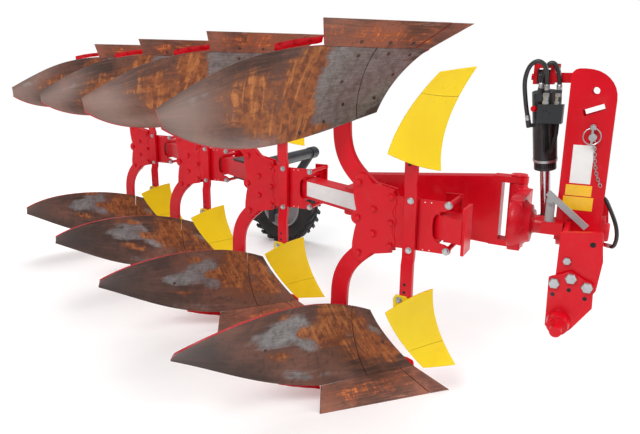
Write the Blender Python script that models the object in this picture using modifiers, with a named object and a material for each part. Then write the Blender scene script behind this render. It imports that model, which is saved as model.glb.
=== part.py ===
"""A four-furrow mounted reversible mouldboard plough, parked on its lower bodies.

Metres, +Z up, +X is the direction of travel and +Y the unploughed side. Everything is set out from the
share point of the front lower body, and the finished machine is then centred over its own footprint.
The upper set of bodies is the mirror image of the lower set in the plane of the main beam's axis.
"""

import bmesh
import bpy
import numpy as np
from math import atan2, cos, pi, radians, sin
from mathutils import Matrix, Vector

# ---- driving dimensions -------------------------------------------------------------------------
BODIES = 4
BODY_SPACING = 0.95          # from one body to the next, along the travel
WORKING_WIDTH = 0.47         # sideways step from one furrow to the next
BEAM_HEIGHT = 0.88           # main beam's axis above the lower share points
GAP = 0.0003                 # between solids that touch
RUNNING_GAP = 0.0006         # between a pin or a rod and its bore

BEAM_SIZE = 0.11             # square tube
BEAM_SIDE = -0.129           # sideways place of the beam's axis at the front share point
BEAM_FRONT = 0.055           # where the flange is fixed
FLANGE_HEIGHT = 0.212
FLANGE_WIDTH = 0.124
FLANGE_THICKNESS = 0.014
BEAM_TAIL = 0.16             # overhang behind the last body's clamp

LEG_SIDE = -0.145            # middle plane of a leg
LEG_THICKNESS = 0.030
LEG_DEPTH = 0.088
CHEEK_THICKNESS = 0.014
CLAMP_PLATE_THICKNESS = 0.015
CLAMP_HALF_HEIGHT = 0.124
CLAMP_BOLT_RADIUS = 0.012
CLAMP_BOLT_HEIGHT = 0.106    # above and below the beam's axis
STALK_WIDTH = 0.056
STALK_THICKNESS = 0.028
STALK_AT = -0.182            # along the travel
CLAMP_FACE = LEG_SIDE - LEG_THICKNESS / 2 - GAP - CLAMP_PLATE_THICKNESS - 0.0015
NOTCH_RADIUS = 0.034
NOTCH_MARGIN = 0.019         # from the beam's upper and lower faces to the notch round it
NOTCH_CLEARANCE = 0.005      # from the beam's right face to the notched plate

MOLDBOARD_THICKNESS = 0.009
SHARE_THICKNESS = 0.012
SKIMMER_THICKNESS = 0.008
SEAM_GAP = 0.0012            # between a share and its mouldboard

AXIS_SIDE = 0.12             # turnover axis, sideways
SHAFT_RADIUS = 0.042
HOUSING_RADIUS = 0.082
HOUSING_REAR = 0.412
HOUSING_FRONT = 0.600

ARM_THICKNESS = 0.09
KINGPIN_AT = (0.195, 0.335)  # vertical pin between the front arm and the swing yoke
KINGPIN_RADIUS = 0.024
ARM_HALF_HEIGHT = 0.178

CRANK_RADIUS = 0.115
CRANK_AT = 0.292             # middle of the crank plate, along the travel
CYLINDER_TOP = (0.290, 1.56)     # along the travel, height
CYLINDER_EYE_AT = 0.345
BARREL_RADIUS = 0.052
BARREL_LENGTH = 0.318
ROD_RADIUS = 0.0225
ROD_EYE_RADIUS = 0.030
ROD_STROKE = 0.218
EYE_PLAY = 0.00095           # the cylinder's upper eye is a ball, which tilts on its pin
GLAND_LENGTH = 0.036
HOSE_RADIUS = 0.0095
HOUSING_HOSE_RADIUS = 0.0085
FITTING_RADIUS = 0.0115

TOWER_REAR = 0.405
TOWER_FRONT = 0.585
TOWER_TOP = 1.575
TOWER_HALF_WIDTH = 0.072
TOWER_PLATE = 0.018
TOP_PIN_AT = (0.514, 1.298)
TOP_PIN_RADIUS = 0.0157

HITCH_PLATE_SIDE = 0.33      # from the turnover axis
HITCH_PLATE = 0.020
LINK_PIN_AT = (0.480, 0.575)
LINK_PIN_SPREAD = 0.965      # over the ends of the two lower pins
LINK_BOSS_RADIUS = 0.041
LINK_STEP_RADIUS = 0.030
LINK_PIN_RADIUS = 0.0225

WHEEL_AT = (-2.10, 1.90, 0.335)
WHEEL_RADIUS = 0.335
TYRE_WIDTH = 0.200
RIM_RADIUS = 0.190
HUB_RADIUS = 0.055
WHEEL_PIVOT_X = -1.72
WHEEL_ARM_SIDE = 1.715

RENDER_STEPS = 36
FLAT_UNDER = 0.1             # degrees between faces that are one plane

RED = (0.68, 0.012, 0.018, 1.0)
DARK_RED = (0.42, 0.010, 0.014, 1.0)
YELLOW = (0.93, 0.68, 0.02, 1.0)
RUSTED_STEEL = (0.24, 0.105, 0.06, 1.0)
GROUND_STEEL = (0.20, 0.13, 0.10, 1.0)
ANTHRACITE = (0.028, 0.030, 0.033, 1.0)
ZINC = (0.62, 0.62, 0.60, 1.0)
CHROME = (0.80, 0.81, 0.82, 1.0)
RUBBER = (0.014, 0.014, 0.015, 1.0)
GREY = (0.32, 0.33, 0.34, 1.0)


# ---- the scene ----------------------------------------------------------------------------------
for old in list(bpy.data.objects):
    bpy.data.objects.remove(old, do_unlink=True)

PARTS = bpy.data.collections.new("reversible_plough")
CUTTERS = bpy.data.collections.new("cutters")
CUTTERS.hide_render = True
bpy.context.scene.collection.children.link(PARTS)
bpy.context.scene.collection.children.link(CUTTERS)


def material(name, colour, roughness, metallic=0.0):
    made = bpy.data.materials.get(name)
    if made is None:
        made = bpy.data.materials.new(name)
        made.use_nodes = True
        shader = made.node_tree.nodes["Principled BSDF"]
        shader.inputs["Base Color"].default_value = colour
        shader.inputs["Roughness"].default_value = roughness
        shader.inputs["Metallic"].default_value = metallic
        made.diffuse_color = colour
    return made


PAINT = material("red_paint", RED, 0.35)
CAST_PAINT = material("red_casting_paint", DARK_RED, 0.45)
SKIMMER_PAINT = material("yellow_paint", YELLOW, 0.4)
PLATE_STEEL = material("rusted_steel", RUSTED_STEEL, 0.55, 0.7)
SHARE_STEEL = material("ground_steel", GROUND_STEEL, 0.5, 0.8)
DARK_PAINT = material("anthracite_paint", ANTHRACITE, 0.45)
ZINCED = material("zinced_steel", ZINC, 0.35, 0.9)
CHROMED = material("chromed_rod", CHROME, 0.08, 1.0)
TYRE_RUBBER = material("tyre_rubber", RUBBER, 0.85)
RIM_PAINT = material("grey_paint", GREY, 0.45)
HOSE_RUBBER = material("hose_rubber", RUBBER, 0.5)


# ---- solids, as plain meshes --------------------------------------------------------------------
def solid(name, mesh, collection=CUTTERS):
    made = bpy.data.objects.new(name, mesh)
    collection.objects.link(made)
    if collection is CUTTERS:
        made.hide_render = True
        made.display_type = "WIRE"
    return made


def box(centre, size):
    mesh = bpy.data.meshes.new("box")
    shape = bmesh.new()
    placed = Matrix.Translation(centre) @ Matrix.Diagonal((*size, 1.0))
    bmesh.ops.create_cube(shape, size=1.0, matrix=placed)
    shape.to_mesh(mesh)
    shape.free()
    return solid("box", mesh)


def box_between(low, high):
    middle = [(a + b) / 2 for a, b in zip(low, high)]
    return box(middle, [b - a for a, b in zip(low, high)])


def along(start, end):
    """The frame whose Z runs from start to end, placed halfway."""
    start, end = Vector(start), Vector(end)
    turned = (end - start).to_track_quat("Z", "Y").to_matrix().to_4x4()
    return Matrix.Translation((start + end) / 2) @ turned


def rod(start, end, radius, end_radius=None, sides=24):
    mesh = bpy.data.meshes.new("rod")
    shape = bmesh.new()
    length = (Vector(end) - Vector(start)).length
    bmesh.ops.create_cone(
        shape, cap_ends=True, segments=sides, radius1=radius,
        radius2=radius if end_radius is None else end_radius, depth=length, matrix=along(start, end),
    )
    shape.to_mesh(mesh)
    shape.free()
    return solid("rod", mesh)


def arc(x, z, radius, start, end, steps=6):
    """Points of an arc, angles in degrees."""
    angles = np.radians(np.linspace(start, end, steps + 1))
    return [(x + radius * cos(a), z + radius * sin(a)) for a in angles]


def plate(outline, side, thickness):
    """A flat plate in the XZ plane: its outline as (x, z) points, centred sideways on side."""
    curve = bpy.data.curves.new("outline", "CURVE")
    curve.dimensions = "2D"
    curve.fill_mode = "BOTH"
    curve.extrude = thickness / 2
    spline = curve.splines.new("POLY")
    spline.points.add(len(outline) - 1)
    for point, (x, z) in zip(spline.points, outline):
        point.co = (x, z, 0.0, 1.0)
    spline.use_cyclic_u = True
    drawn = solid("outline", curve)
    drawn.matrix_world = Matrix.Translation((0.0, side, 0.0)) @ Matrix.Rotation(pi / 2, 4, "X")
    return as_mesh(drawn)


def flat_plate(outline, height, thickness):
    """A flat plate in the XY plane: its outline as (x, y) points, centred on height."""
    made = plate(outline, 0.0, thickness)
    made.data.transform(Matrix.Translation((0.0, 0.0, height)) @ Matrix.Rotation(-pi / 2, 4, "X"))
    return made


def as_mesh(curve_object):
    """A curve object's evaluated shape as a closed mesh object in world space."""
    bpy.context.view_layer.update()
    evaluated = curve_object.evaluated_get(bpy.context.evaluated_depsgraph_get())
    mesh = bpy.data.meshes.new_from_object(evaluated)
    mesh.transform(curve_object.matrix_world)
    shape = bmesh.new()
    shape.from_mesh(mesh)
    bmesh.ops.remove_doubles(shape, verts=shape.verts, dist=1e-6)
    bmesh.ops.recalc_face_normals(shape, faces=shape.faces)
    shape.to_mesh(mesh)
    shape.free()
    bpy.data.objects.remove(curve_object, do_unlink=True)
    return solid("from_curve", mesh)


def combined(base, others, operation):
    """The base joined with, or cut by, the other solids. All of them are used up."""
    for other in others:
        step = base.modifiers.new("step", "BOOLEAN")
        step.operation = operation
        step.solver = "EXACT"
        step.object = other
    bpy.context.view_layer.update()
    evaluated = base.evaluated_get(bpy.context.evaluated_depsgraph_get())
    mesh = bpy.data.meshes.new_from_object(evaluated)
    for used in (base, *others):
        bpy.data.objects.remove(used, do_unlink=True)
    return solid("combined", mesh)


def joined(*solids):
    return combined(solids[0], solids[1:], "UNION")


def cut(base, *cutters):
    return combined(base, cutters, "DIFFERENCE")


def copied(source):
    return solid("copy", source.data.copy())


def mirrored_up(source):
    """A copy of a solid, mirrored in the beam's plane."""
    mesh = source.data.copy()
    over = Matrix.Translation((0, 0, 2 * BEAM_HEIGHT)) @ Matrix.Diagonal((1, 1, -1, 1))
    mesh.transform(over)
    mesh.flip_normals()
    return solid("mirrored", mesh)


def moved(source, offset):
    source.data.transform(Matrix.Translation(offset))
    return source


def empty(name, place, parent=None):
    made = bpy.data.objects.new(name, None)
    made.empty_display_size = 0.1
    PARTS.objects.link(made)
    made.location = place
    bpy.context.view_layer.update()
    hang(made, parent)
    return made


def hang(child, parent):
    if parent is not None:
        bpy.context.view_layer.update()
        child.parent = parent
        child.matrix_parent_inverse = parent.matrix_world.inverted()
    bpy.context.view_layer.update()


def finish(name, source, look, parent, smooth_under=35.0):
    """Names a solid as a part: its origin goes to its parent empty's place, and it gets its material."""
    mesh = source.data
    bpy.data.objects.remove(source, do_unlink=True)
    place = parent.matrix_world.translation.copy()
    mesh.transform(Matrix.Translation(-place))
    shape = bmesh.new()
    shape.from_mesh(mesh)
    bmesh.ops.remove_doubles(shape, verts=shape.verts, dist=2e-6)
    bmesh.ops.dissolve_limit(shape, angle_limit=radians(FLAT_UNDER), verts=shape.verts, edges=shape.edges)
    shape.to_mesh(mesh)
    shape.free()
    mesh.name = name
    mesh.materials.clear()
    mesh.materials.append(look)
    mesh.shade_smooth()
    mesh.set_sharp_from_angle(angle=radians(smooth_under))
    made = solid(name, mesh, PARTS)
    made.location = place
    hang(made, parent)
    return made


def body_offset(number):
    return Vector((-BODY_SPACING, WORKING_WIDTH, 0.0)) * (number - 1)


# ---- the ploughing surfaces ---------------------------------------------------------------------
def bezier(points, t):
    """A Bezier curve of any degree through its control points, for an array of parameters."""
    points = np.array(points, float)
    t = np.atleast_1d(np.asarray(t, float))[:, None]
    while len(points.shape) == 2:
        points = np.repeat(points[None, :, :], len(t), axis=0)
    while points.shape[1] > 1:
        points = points[:, :-1] * (1 - t[:, :, None]) + points[:, 1:] * t[:, :, None]
    return points[:, 0]


SHARE_EDGE = [(0.0, 0.0, 0.0), (-0.237, -0.25, 0.0), (-0.475, -0.50, 0.0)]
SEAM = [(-0.185, -0.035, 0.105), (-0.335, -0.222, 0.110), (-0.505, -0.430, 0.105)]
LOWER_EDGE = [(-0.505, -0.430, 0.105), (-0.740, -0.600, 0.115), (-0.880, -0.680, 0.200),
              (-0.970, -0.935, 0.350)]
TOP_EDGE = [(-0.398, -0.105, 0.385), (-0.600, -0.240, 0.480), (-0.650, -0.520, 0.510),
            (-0.680, -0.880, 0.565), (-0.905, -0.975, 0.415)]
SHARE_END = 0.46             # where the seam ends, as a share of the mouldboard's length
HOLLOW = np.array([-0.055, 0.045, -0.022])   # how far the middle of the shin's section falls back


def lower_line(u):
    """The mouldboard's lower boundary: the seam with the share, and behind it the free lower edge."""
    seam = bezier(SEAM, np.clip(u / SHARE_END, 0.0, 1.0))
    free = bezier(LOWER_EDGE, np.clip((u - SHARE_END) / (1.0 - SHARE_END), 0.0, 1.0))
    return np.where((u < SHARE_END)[:, None], seam, free)


def section(low, middle, high, rows):
    """A quadratic curve up each section, as a grid of points."""
    v = np.linspace(0.0, 1.0, rows)[None, :, None]
    low, middle, high = low[:, None], middle[:, None], high[:, None]
    return low * (1 - v) ** 2 + 2 * middle * v * (1 - v) + high * v ** 2


def moldboard_points(columns, rows):
    """The working face above the share: hollow sections from the lower line up to the top edge."""
    u = np.linspace(0.0, 1.0, columns)
    low = lower_line(u)
    high = bezier(TOP_EDGE, u)
    return section(low, (low + high) / 2 + HOLLOW * (1.25 - 0.9 * u[:, None]), high, rows)


def share_points(columns, rows):
    """The share: ruled from its cutting edge back to just under the seam."""
    u = np.linspace(0.0, 1.0, columns)
    low = bezier(SHARE_EDGE, u)
    high = bezier(SEAM, u)
    reach = high - low
    high = high - reach * (SEAM_GAP / np.linalg.norm(reach, axis=1, keepdims=True))
    return section(low, (low + high) / 2, high, rows)


def grown(points, margin):
    """The grid with an extra strip all round, carried on in the direction of its outer cells."""
    for axis in (0, 1):
        points = np.moveaxis(points, axis, 0)
        first, last = points[0] - points[1], points[-1] - points[-2]
        first *= margin / np.linalg.norm(first, axis=-1, keepdims=True)
        last *= margin / np.linalg.norm(last, axis=-1, keepdims=True)
        points = np.concatenate([(points[0] + first)[None], points, (points[-1] + last)[None]])
        points = np.moveaxis(points, 0, axis)
    return points


SKIMMER_TOP = [(-0.075, -0.135, 0.572), (-0.145, -0.215, 0.560), (-0.232, -0.335, 0.495)]
SKIMMER_MIDDLE = [(-0.085, -0.115, 0.395), (-0.130, -0.190, 0.390), (-0.195, -0.285, 0.350)]
SKIMMER_EDGE = [(0.040, -0.070, 0.182), (-0.010, -0.135, 0.190), (-0.075, -0.215, 0.205)]


def skimmer_points(columns, rows):
    u = np.linspace(0.0, 1.0, columns)
    return section(bezier(SKIMMER_EDGE, u), bezier(SKIMMER_MIDDLE, u), bezier(SKIMMER_TOP, u), rows)


IN_FRONT = np.array([0.36, -0.48, 0.0])   # clear of a working face, on its furrow side


def sheet(points, thickness, reach=0.0, behind=0.0):
    """A curved plate behind a grid of points on its working face.

    The face's normals are those of the grid, which runs backwards along its first index and upwards
    along its second, so they point out to the furrow side. A reach above 0 carries the front of the
    solid that many times IN_FRONT off the working face, which makes a cutter of it. Behind sets the
    whole plate back, which makes a backing of it."""
    columns, rows = points.shape[:2]
    along_u = np.gradient(points, axis=0)
    along_v = np.gradient(points, axis=1)
    normals = np.cross(along_v, along_u)
    normals /= np.linalg.norm(normals, axis=2, keepdims=True)
    faces = []
    front = points + IN_FRONT * reach - normals * behind
    back = points - normals * (behind + thickness)
    corners = np.concatenate([front.reshape(-1, 3), back.reshape(-1, 3)])
    count = columns * rows

    def at(i, j, behind):
        return i * rows + j + behind * count

    for i in range(columns - 1):
        for j in range(rows - 1):
            faces.append((at(i, j, 0), at(i, j + 1, 0), at(i + 1, j + 1, 0), at(i + 1, j, 0)))
            faces.append((at(i, j, 1), at(i + 1, j, 1), at(i + 1, j + 1, 1), at(i, j + 1, 1)))
    for i in range(columns - 1):
        faces.append((at(i, 0, 0), at(i + 1, 0, 0), at(i + 1, 0, 1), at(i, 0, 1)))
        faces.append((at(i, rows - 1, 0), at(i, rows - 1, 1), at(i + 1, rows - 1, 1), at(i + 1, rows - 1, 0)))
    for j in range(rows - 1):
        faces.append((at(0, j, 0), at(0, j, 1), at(0, j + 1, 1), at(0, j + 1, 0)))
        faces.append((at(columns - 1, j, 0), at(columns - 1, j + 1, 0),
                      at(columns - 1, j + 1, 1), at(columns - 1, j, 1)))
    mesh = bpy.data.meshes.new("sheet")
    mesh.from_pydata([tuple(c) for c in corners], [], faces)
    shape = bmesh.new()
    shape.from_mesh(mesh)
    bmesh.ops.triangulate(shape, faces=shape.faces)
    bmesh.ops.recalc_face_normals(shape, faces=shape.faces)
    shape.to_mesh(mesh)
    shape.free()
    return solid("sheet", mesh)


# ---- one body, in the frame of its own share point ----------------------------------------------
LEG_FOOT = (-0.560, 0.200)
LEG_BEND = (-0.552, 0.470)
LEG_HEAD = (-0.330, 0.800)


def leg_outline():
    """The lower leg: a flat bar, upright above the frog, swept forward into the clamp."""
    path = bezier([(LEG_BEND[0], LEG_BEND[1]), (LEG_BEND[0] + 0.004, 0.640), (-0.455, 0.690),
                   (LEG_HEAD[0], LEG_HEAD[1] - 0.010)], np.linspace(0, 1, 8))
    path = np.vstack([[LEG_FOOT], path])
    along_path = np.gradient(path, axis=0)
    along_path /= np.linalg.norm(along_path, axis=1, keepdims=True)
    across = np.stack([-along_path[:, 1], along_path[:, 0]], axis=1) * LEG_DEPTH / 2
    left = [tuple(p) for p in path + across]
    right = [tuple(p) for p in path - across]
    top = BEAM_HEIGHT - 0.004
    head = [(-0.345, top), (-0.300, top), (-0.300, top - 0.10)]
    return left + head + right[::-1]


BACKING = 0.014
SEAT = GAP + 0.0004          # between the frog and the plates it carries


def frog_solids(face, blade):
    """The frog: backings that follow the mouldboard and the share, a web to the leg and the landside."""
    landside = box_between((-0.660, -0.013, 0.0), (-0.100, -0.001, 0.125))
    web = box_between((-0.590, -0.175, 0.070), (-0.240, -0.006, 0.105))
    post = box_between((-0.604, -0.165, 0.075), (-0.516, -0.125, 0.230))
    shoulder = box_between((-0.560, -0.170, 0.240), (-0.400, -0.110, 0.300))
    board = sheet(face[:6, :4], BACKING, behind=MOLDBOARD_THICKNESS + SEAT)
    under = sheet(blade, BACKING, behind=SHARE_THICKNESS + SEAT)
    stay = rod((-0.560, -0.140, 0.340), (-0.790, -0.600, 0.330), 0.016, sides=8)
    return landside, web, post, shoulder, board, under, stay


def body_parts():
    """The solids of one lower body: its leg with the frog, its mouldboard and its share."""
    face = moldboard_points(9, 5)
    blade = share_points(5, 2)
    moldboard = sheet(face, MOLDBOARD_THICKNESS)
    floor = box_between((-2.0, -2.0, -0.2), (2.0, 2.0, 0.0))
    share = cut(sheet(blade, SHARE_THICKNESS), sheet(grown(face, SEAM_GAP), MOLDBOARD_THICKNESS + SEAT),
                copied(floor))
    leg = plate(leg_outline(), LEG_SIDE, LEG_THICKNESS)
    frame = cut(
        joined(leg, *frog_solids(face, blade)),
        sheet(grown(face, 0.05), MOLDBOARD_THICKNESS + SEAT / 2, 1.0),
        sheet(grown(blade, 0.02), SHARE_THICKNESS + SEAT / 2, 0.5),
        floor,
    )
    return frame, moldboard, share


def skimmer_solid():
    """A skimmer: a curved blade on a bracket and a cranked flat stalk."""
    stalk_side = CLAMP_FACE - GAP - STALK_THICKNESS / 2
    half = STALK_WIDTH / 2
    upper = box_between((STALK_AT - half, stalk_side - STALK_THICKNESS / 2, 0.690),
                        (STALK_AT + half, stalk_side + STALK_THICKNESS / 2, BEAM_HEIGHT - 0.002))
    lower = box_between((STALK_AT - half - 0.006, stalk_side - STALK_THICKNESS / 2 - 0.010, 0.400),
                        (STALK_AT + half - 0.008, stalk_side + STALK_THICKNESS / 2 - 0.012, 0.712))
    bracket = box_between((STALK_AT - 0.060, stalk_side - 0.045, 0.420),
                          (STALK_AT + 0.050, stalk_side - 0.004, 0.520))
    face = skimmer_points(5, 6)
    stalk = cut(joined(upper, lower, bracket), sheet(face, SKIMMER_THICKNESS / 2, 0.5))
    return joined(stalk, sheet(face, SKIMMER_THICKNESS))


def clamp_solid():
    """The clamp of one pair of legs: two wavy cheeks, a notched plate over the beam and its bolts."""
    inner = LEG_SIDE + LEG_THICKNESS / 2 + GAP
    outer = LEG_SIDE - LEG_THICKNESS / 2 - GAP
    half_outline = [
        *arc(-0.452, BEAM_HEIGHT, 0.036, 180, 258, 3),
        (-0.468, BEAM_HEIGHT - 0.085),
        *arc(-0.432, BEAM_HEIGHT - 0.178, 0.046, 165, 315, 5),
        (-0.350, BEAM_HEIGHT - 0.158),
        (-0.300, BEAM_HEIGHT - 0.150),
        *arc(-0.282, BEAM_HEIGHT - 0.118, 0.032, 270, 400, 4),
        (-0.270, BEAM_HEIGHT - 0.060),
        *arc(-0.282, BEAM_HEIGHT, 0.032, 320, 360, 3),
    ]
    upper_half = [(x, 2 * BEAM_HEIGHT - z) for x, z in half_outline[1:-1]][::-1]
    outline = half_outline + upper_half
    cheek = plate(outline, outer - CHEEK_THICKNESS / 2, CHEEK_THICKNESS)
    back = plate(outline, inner + CHEEK_THICKNESS / 2, CHEEK_THICKNESS)
    top, low = BEAM_HEIGHT + CLAMP_HALF_HEIGHT, BEAM_HEIGHT - CLAMP_HALF_HEIGHT
    notch = BEAM_SIZE / 2 + NOTCH_MARGIN
    beam_face = BEAM_SIDE - BEAM_SIZE / 2 / cos(BEAM_ANGLE)
    notch_end = (beam_face - CLAMP_FACE - CLAMP_PLATE_THICKNESS - NOTCH_CLEARANCE) / BEAM_SLOPE
    bend = notch_end + NOTCH_RADIUS
    front_side = CLAMP_FACE + CLAMP_PLATE_THICKNESS / 2
    front = plate([
        (-0.290, low - 0.004), (-0.020, low + 0.010), *arc(-0.014, low + 0.022, 0.016, 300, 440, 3),
        (-0.022, BEAM_HEIGHT - notch),
        *arc(bend, BEAM_HEIGHT - notch + NOTCH_RADIUS, NOTCH_RADIUS, 260, 190, 2),
        *arc(bend, BEAM_HEIGHT + notch - NOTCH_RADIUS, NOTCH_RADIUS, 170, 100, 2),
        (-0.022, BEAM_HEIGHT + notch),
        *arc(-0.014, top - 0.022, 0.016, -80, 60, 3), (-0.020, top - 0.010), (-0.290, top + 0.004),
    ], front_side, CLAMP_PLATE_THICKNESS)
    web = box_between((-0.296, outer - CHEEK_THICKNESS + 0.002, low),
                      (-0.262, inner + CHEEK_THICKNESS - 0.002, top))
    rear_plate = plate([(-0.085, low), (-0.004, low), (-0.004, top), (-0.085, top)], 0.030, 0.014)
    pieces = [cheek, web, back, front, rear_plate]
    for side in (1, -1):
        z = BEAM_HEIGHT + side * CLAMP_BOLT_HEIGHT
        pieces.append(rod((-0.0185, outer - 0.026, z), (-0.0185, 0.050, z), CLAMP_BOLT_RADIUS, sides=8))
        near = BEAM_HEIGHT + side * (BEAM_SIZE / 2 + 2 * GAP)
        far = BEAM_HEIGHT + side * (BEAM_SIZE / 2 + 0.020)
        pieces.append(box_between((-0.280, outer - 0.006, min(near, far)), (-0.055, 0.033, max(near, far))))
    return joined(*pieces)


# ---- the main beam and the front ----------------------------------------------------------------
BACKWARD = Vector((-BODY_SPACING, WORKING_WIDTH, 0.0)).normalized()
BEAM_SLOPE = WORKING_WIDTH / BODY_SPACING
BEAM_ANGLE = atan2(WORKING_WIDTH, BODY_SPACING)


def beam_side(x):
    """Sideways place of the beam's axis at a place along the travel."""
    return BEAM_SIDE - x * BEAM_SLOPE


def beam_solid(extra=0.0):
    """The diagonal square beam, cut square to the travel at its front flange."""
    rear_x = -BODY_SPACING * (BODIES - 1) - 0.52 - BEAM_TAIL
    half = BEAM_SIZE / 2 + extra
    sideways = half / cos(BEAM_ANGLE)
    outline = [
        (BEAM_FRONT, beam_side(BEAM_FRONT) - sideways), (BEAM_FRONT, beam_side(BEAM_FRONT) + sideways),
        (rear_x, beam_side(rear_x) + sideways), (rear_x, beam_side(rear_x) - sideways),
    ]
    return flat_plate(outline, BEAM_HEIGHT, 2 * half)


plough = empty("plough_frame", (0.0, 0.0, 0.0))
turning = empty("turnover_axis", (HOUSING_REAR, AXIS_SIDE, BEAM_HEIGHT), plough)


def build_beam():
    flange = box((BEAM_FRONT + FLANGE_THICKNESS / 2 - 0.001, beam_side(BEAM_FRONT) + 0.012, BEAM_HEIGHT),
                 (FLANGE_THICKNESS, FLANGE_WIDTH, FLANGE_HEIGHT))
    finish("main_beam", joined(beam_solid(), flange), PAINT, turning)


def build_bodies():
    frame, moldboard, share = body_parts()
    skimmer = skimmer_solid()
    clamp = clamp_solid()
    for number in range(1, BODIES + 1):
        offset = body_offset(number)
        finish(f"leg_clamp_{number}", moved(copied(clamp), offset), PAINT, turning)
        for row in ("lower", "upper"):
            for name, source, look in (("leg", frame, PAINT), ("moldboard", moldboard, PLATE_STEEL),
                                       ("share", share, SHARE_STEEL), ("skimmer", skimmer, SKIMMER_PAINT)):
                one = copied(source) if row == "lower" else mirrored_up(source)
                finish(f"{name}_{row}_{number}", moved(one, offset), look, turning)
    for source in (frame, moldboard, share, skimmer, clamp):
        bpy.data.objects.remove(source, do_unlink=True)


ARM_REAR_PIVOT_X = -0.62


def build_front_arm():
    """The welded arm from the kingpin back to its pivot on the main beam."""
    pin_x, pin_y = KINGPIN_AT
    rear = Vector((ARM_REAR_PIVOT_X, beam_side(ARM_REAR_PIVOT_X)))
    half = ARM_THICKNESS / 2
    rear_y = beam_side(ARM_REAR_PIVOT_X) + BEAM_SIZE / 2 / cos(BEAM_ANGLE) + half + 0.045
    front_y = pin_y + 0.01
    height = BEAM_SIZE / 2 + GAP
    body = plate([(pin_x - 0.075, BEAM_HEIGHT - ARM_HALF_HEIGHT), (pin_x - 0.075, BEAM_HEIGHT + ARM_HALF_HEIGHT),
                  (rear.x - 0.05, BEAM_HEIGHT + 0.12), (rear.x - 0.05, BEAM_HEIGHT - 0.12)], 0.0, ARM_THICKNESS)
    shear = Matrix.Identity(4)
    shear[1][0] = (front_y - rear_y) / (pin_x - rear.x)
    shear[1][3] = rear_y - shear[1][0] * rear.x
    body.data.transform(shear)
    pieces = [body]
    for side in (1, -1):
        lug_z = BEAM_HEIGHT + side * (ARM_HALF_HEIGHT - 0.015)
        pieces.append(flat_plate([(pin_x - 0.12, front_y - half), *arc(pin_x, pin_y, 0.046, -80, 80, 8),
                                  (pin_x - 0.12, front_y + half)], lug_z, 0.030))
        ear_z = BEAM_HEIGHT + side * (height + 0.009)
        pieces.append(flat_plate([*arc(rear.x, rear.y, 0.060, 200, 360, 8), (rear.x + 0.09, rear_y),
                                  (rear.x - 0.05, rear_y)], ear_z, 0.018))
    hole = rod((pin_x, pin_y, 0.5), (pin_x, pin_y, 1.3), KINGPIN_RADIUS + GAP, sides=24)
    finish("front_arm", cut(joined(*pieces), hole), PAINT, turning)
    head = BEAM_HEIGHT + ARM_HALF_HEIGHT
    pin = joined(rod((pin_x, pin_y, 2 * BEAM_HEIGHT - head - 0.012), (pin_x, pin_y, head + 0.005), KINGPIN_RADIUS),
                 rod((pin_x, pin_y, head + GAP), (pin_x, pin_y, head + 0.012), 0.040))
    finish("kingpin", pin, CAST_PAINT, turning)


def build_yoke():
    """The swing yoke, from the kingpin round to the turnover shaft, with the crank for the cylinder."""
    pin_x, pin_y = KINGPIN_AT
    reach = ARM_HALF_HEIGHT - 0.030 - 0.0012
    barrel = rod((pin_x, pin_y, BEAM_HEIGHT - reach), (pin_x, pin_y, BEAM_HEIGHT + reach), 0.044, sides=24)
    wall = box_between((pin_x + 0.012, AXIS_SIDE - 0.075, BEAM_HEIGHT - 0.120),
                       (pin_x + 0.068, pin_y + 0.020, BEAM_HEIGHT + 0.120))
    boss = rod((pin_x + 0.020, AXIS_SIDE, BEAM_HEIGHT), (0.298, AXIS_SIDE, BEAM_HEIGHT), 0.085, sides=28)
    crank = plate([*arc(0.0, 0.0, 0.055, 90, 270, 8), *arc(CRANK_RADIUS, 0.0, 0.042, -90, 90, 8)], 0.0, 0.018)
    crank.data.transform(Matrix.Translation((CRANK_AT, AXIS_SIDE, BEAM_HEIGHT)) @ Matrix.Rotation(pi / 2, 4, "Z"))
    shaft = rod((0.290, AXIS_SIDE, BEAM_HEIGHT), (HOUSING_FRONT + 0.022, AXIS_SIDE, BEAM_HEIGHT), SHAFT_RADIUS,
                sides=28)
    hole = rod((pin_x, pin_y, 0.5), (pin_x, pin_y, 1.3), KINGPIN_RADIUS + GAP, sides=24)
    finish("swing_yoke", cut(joined(barrel, wall, boss, crank, shaft), hole), CAST_PAINT, turning)


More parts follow.
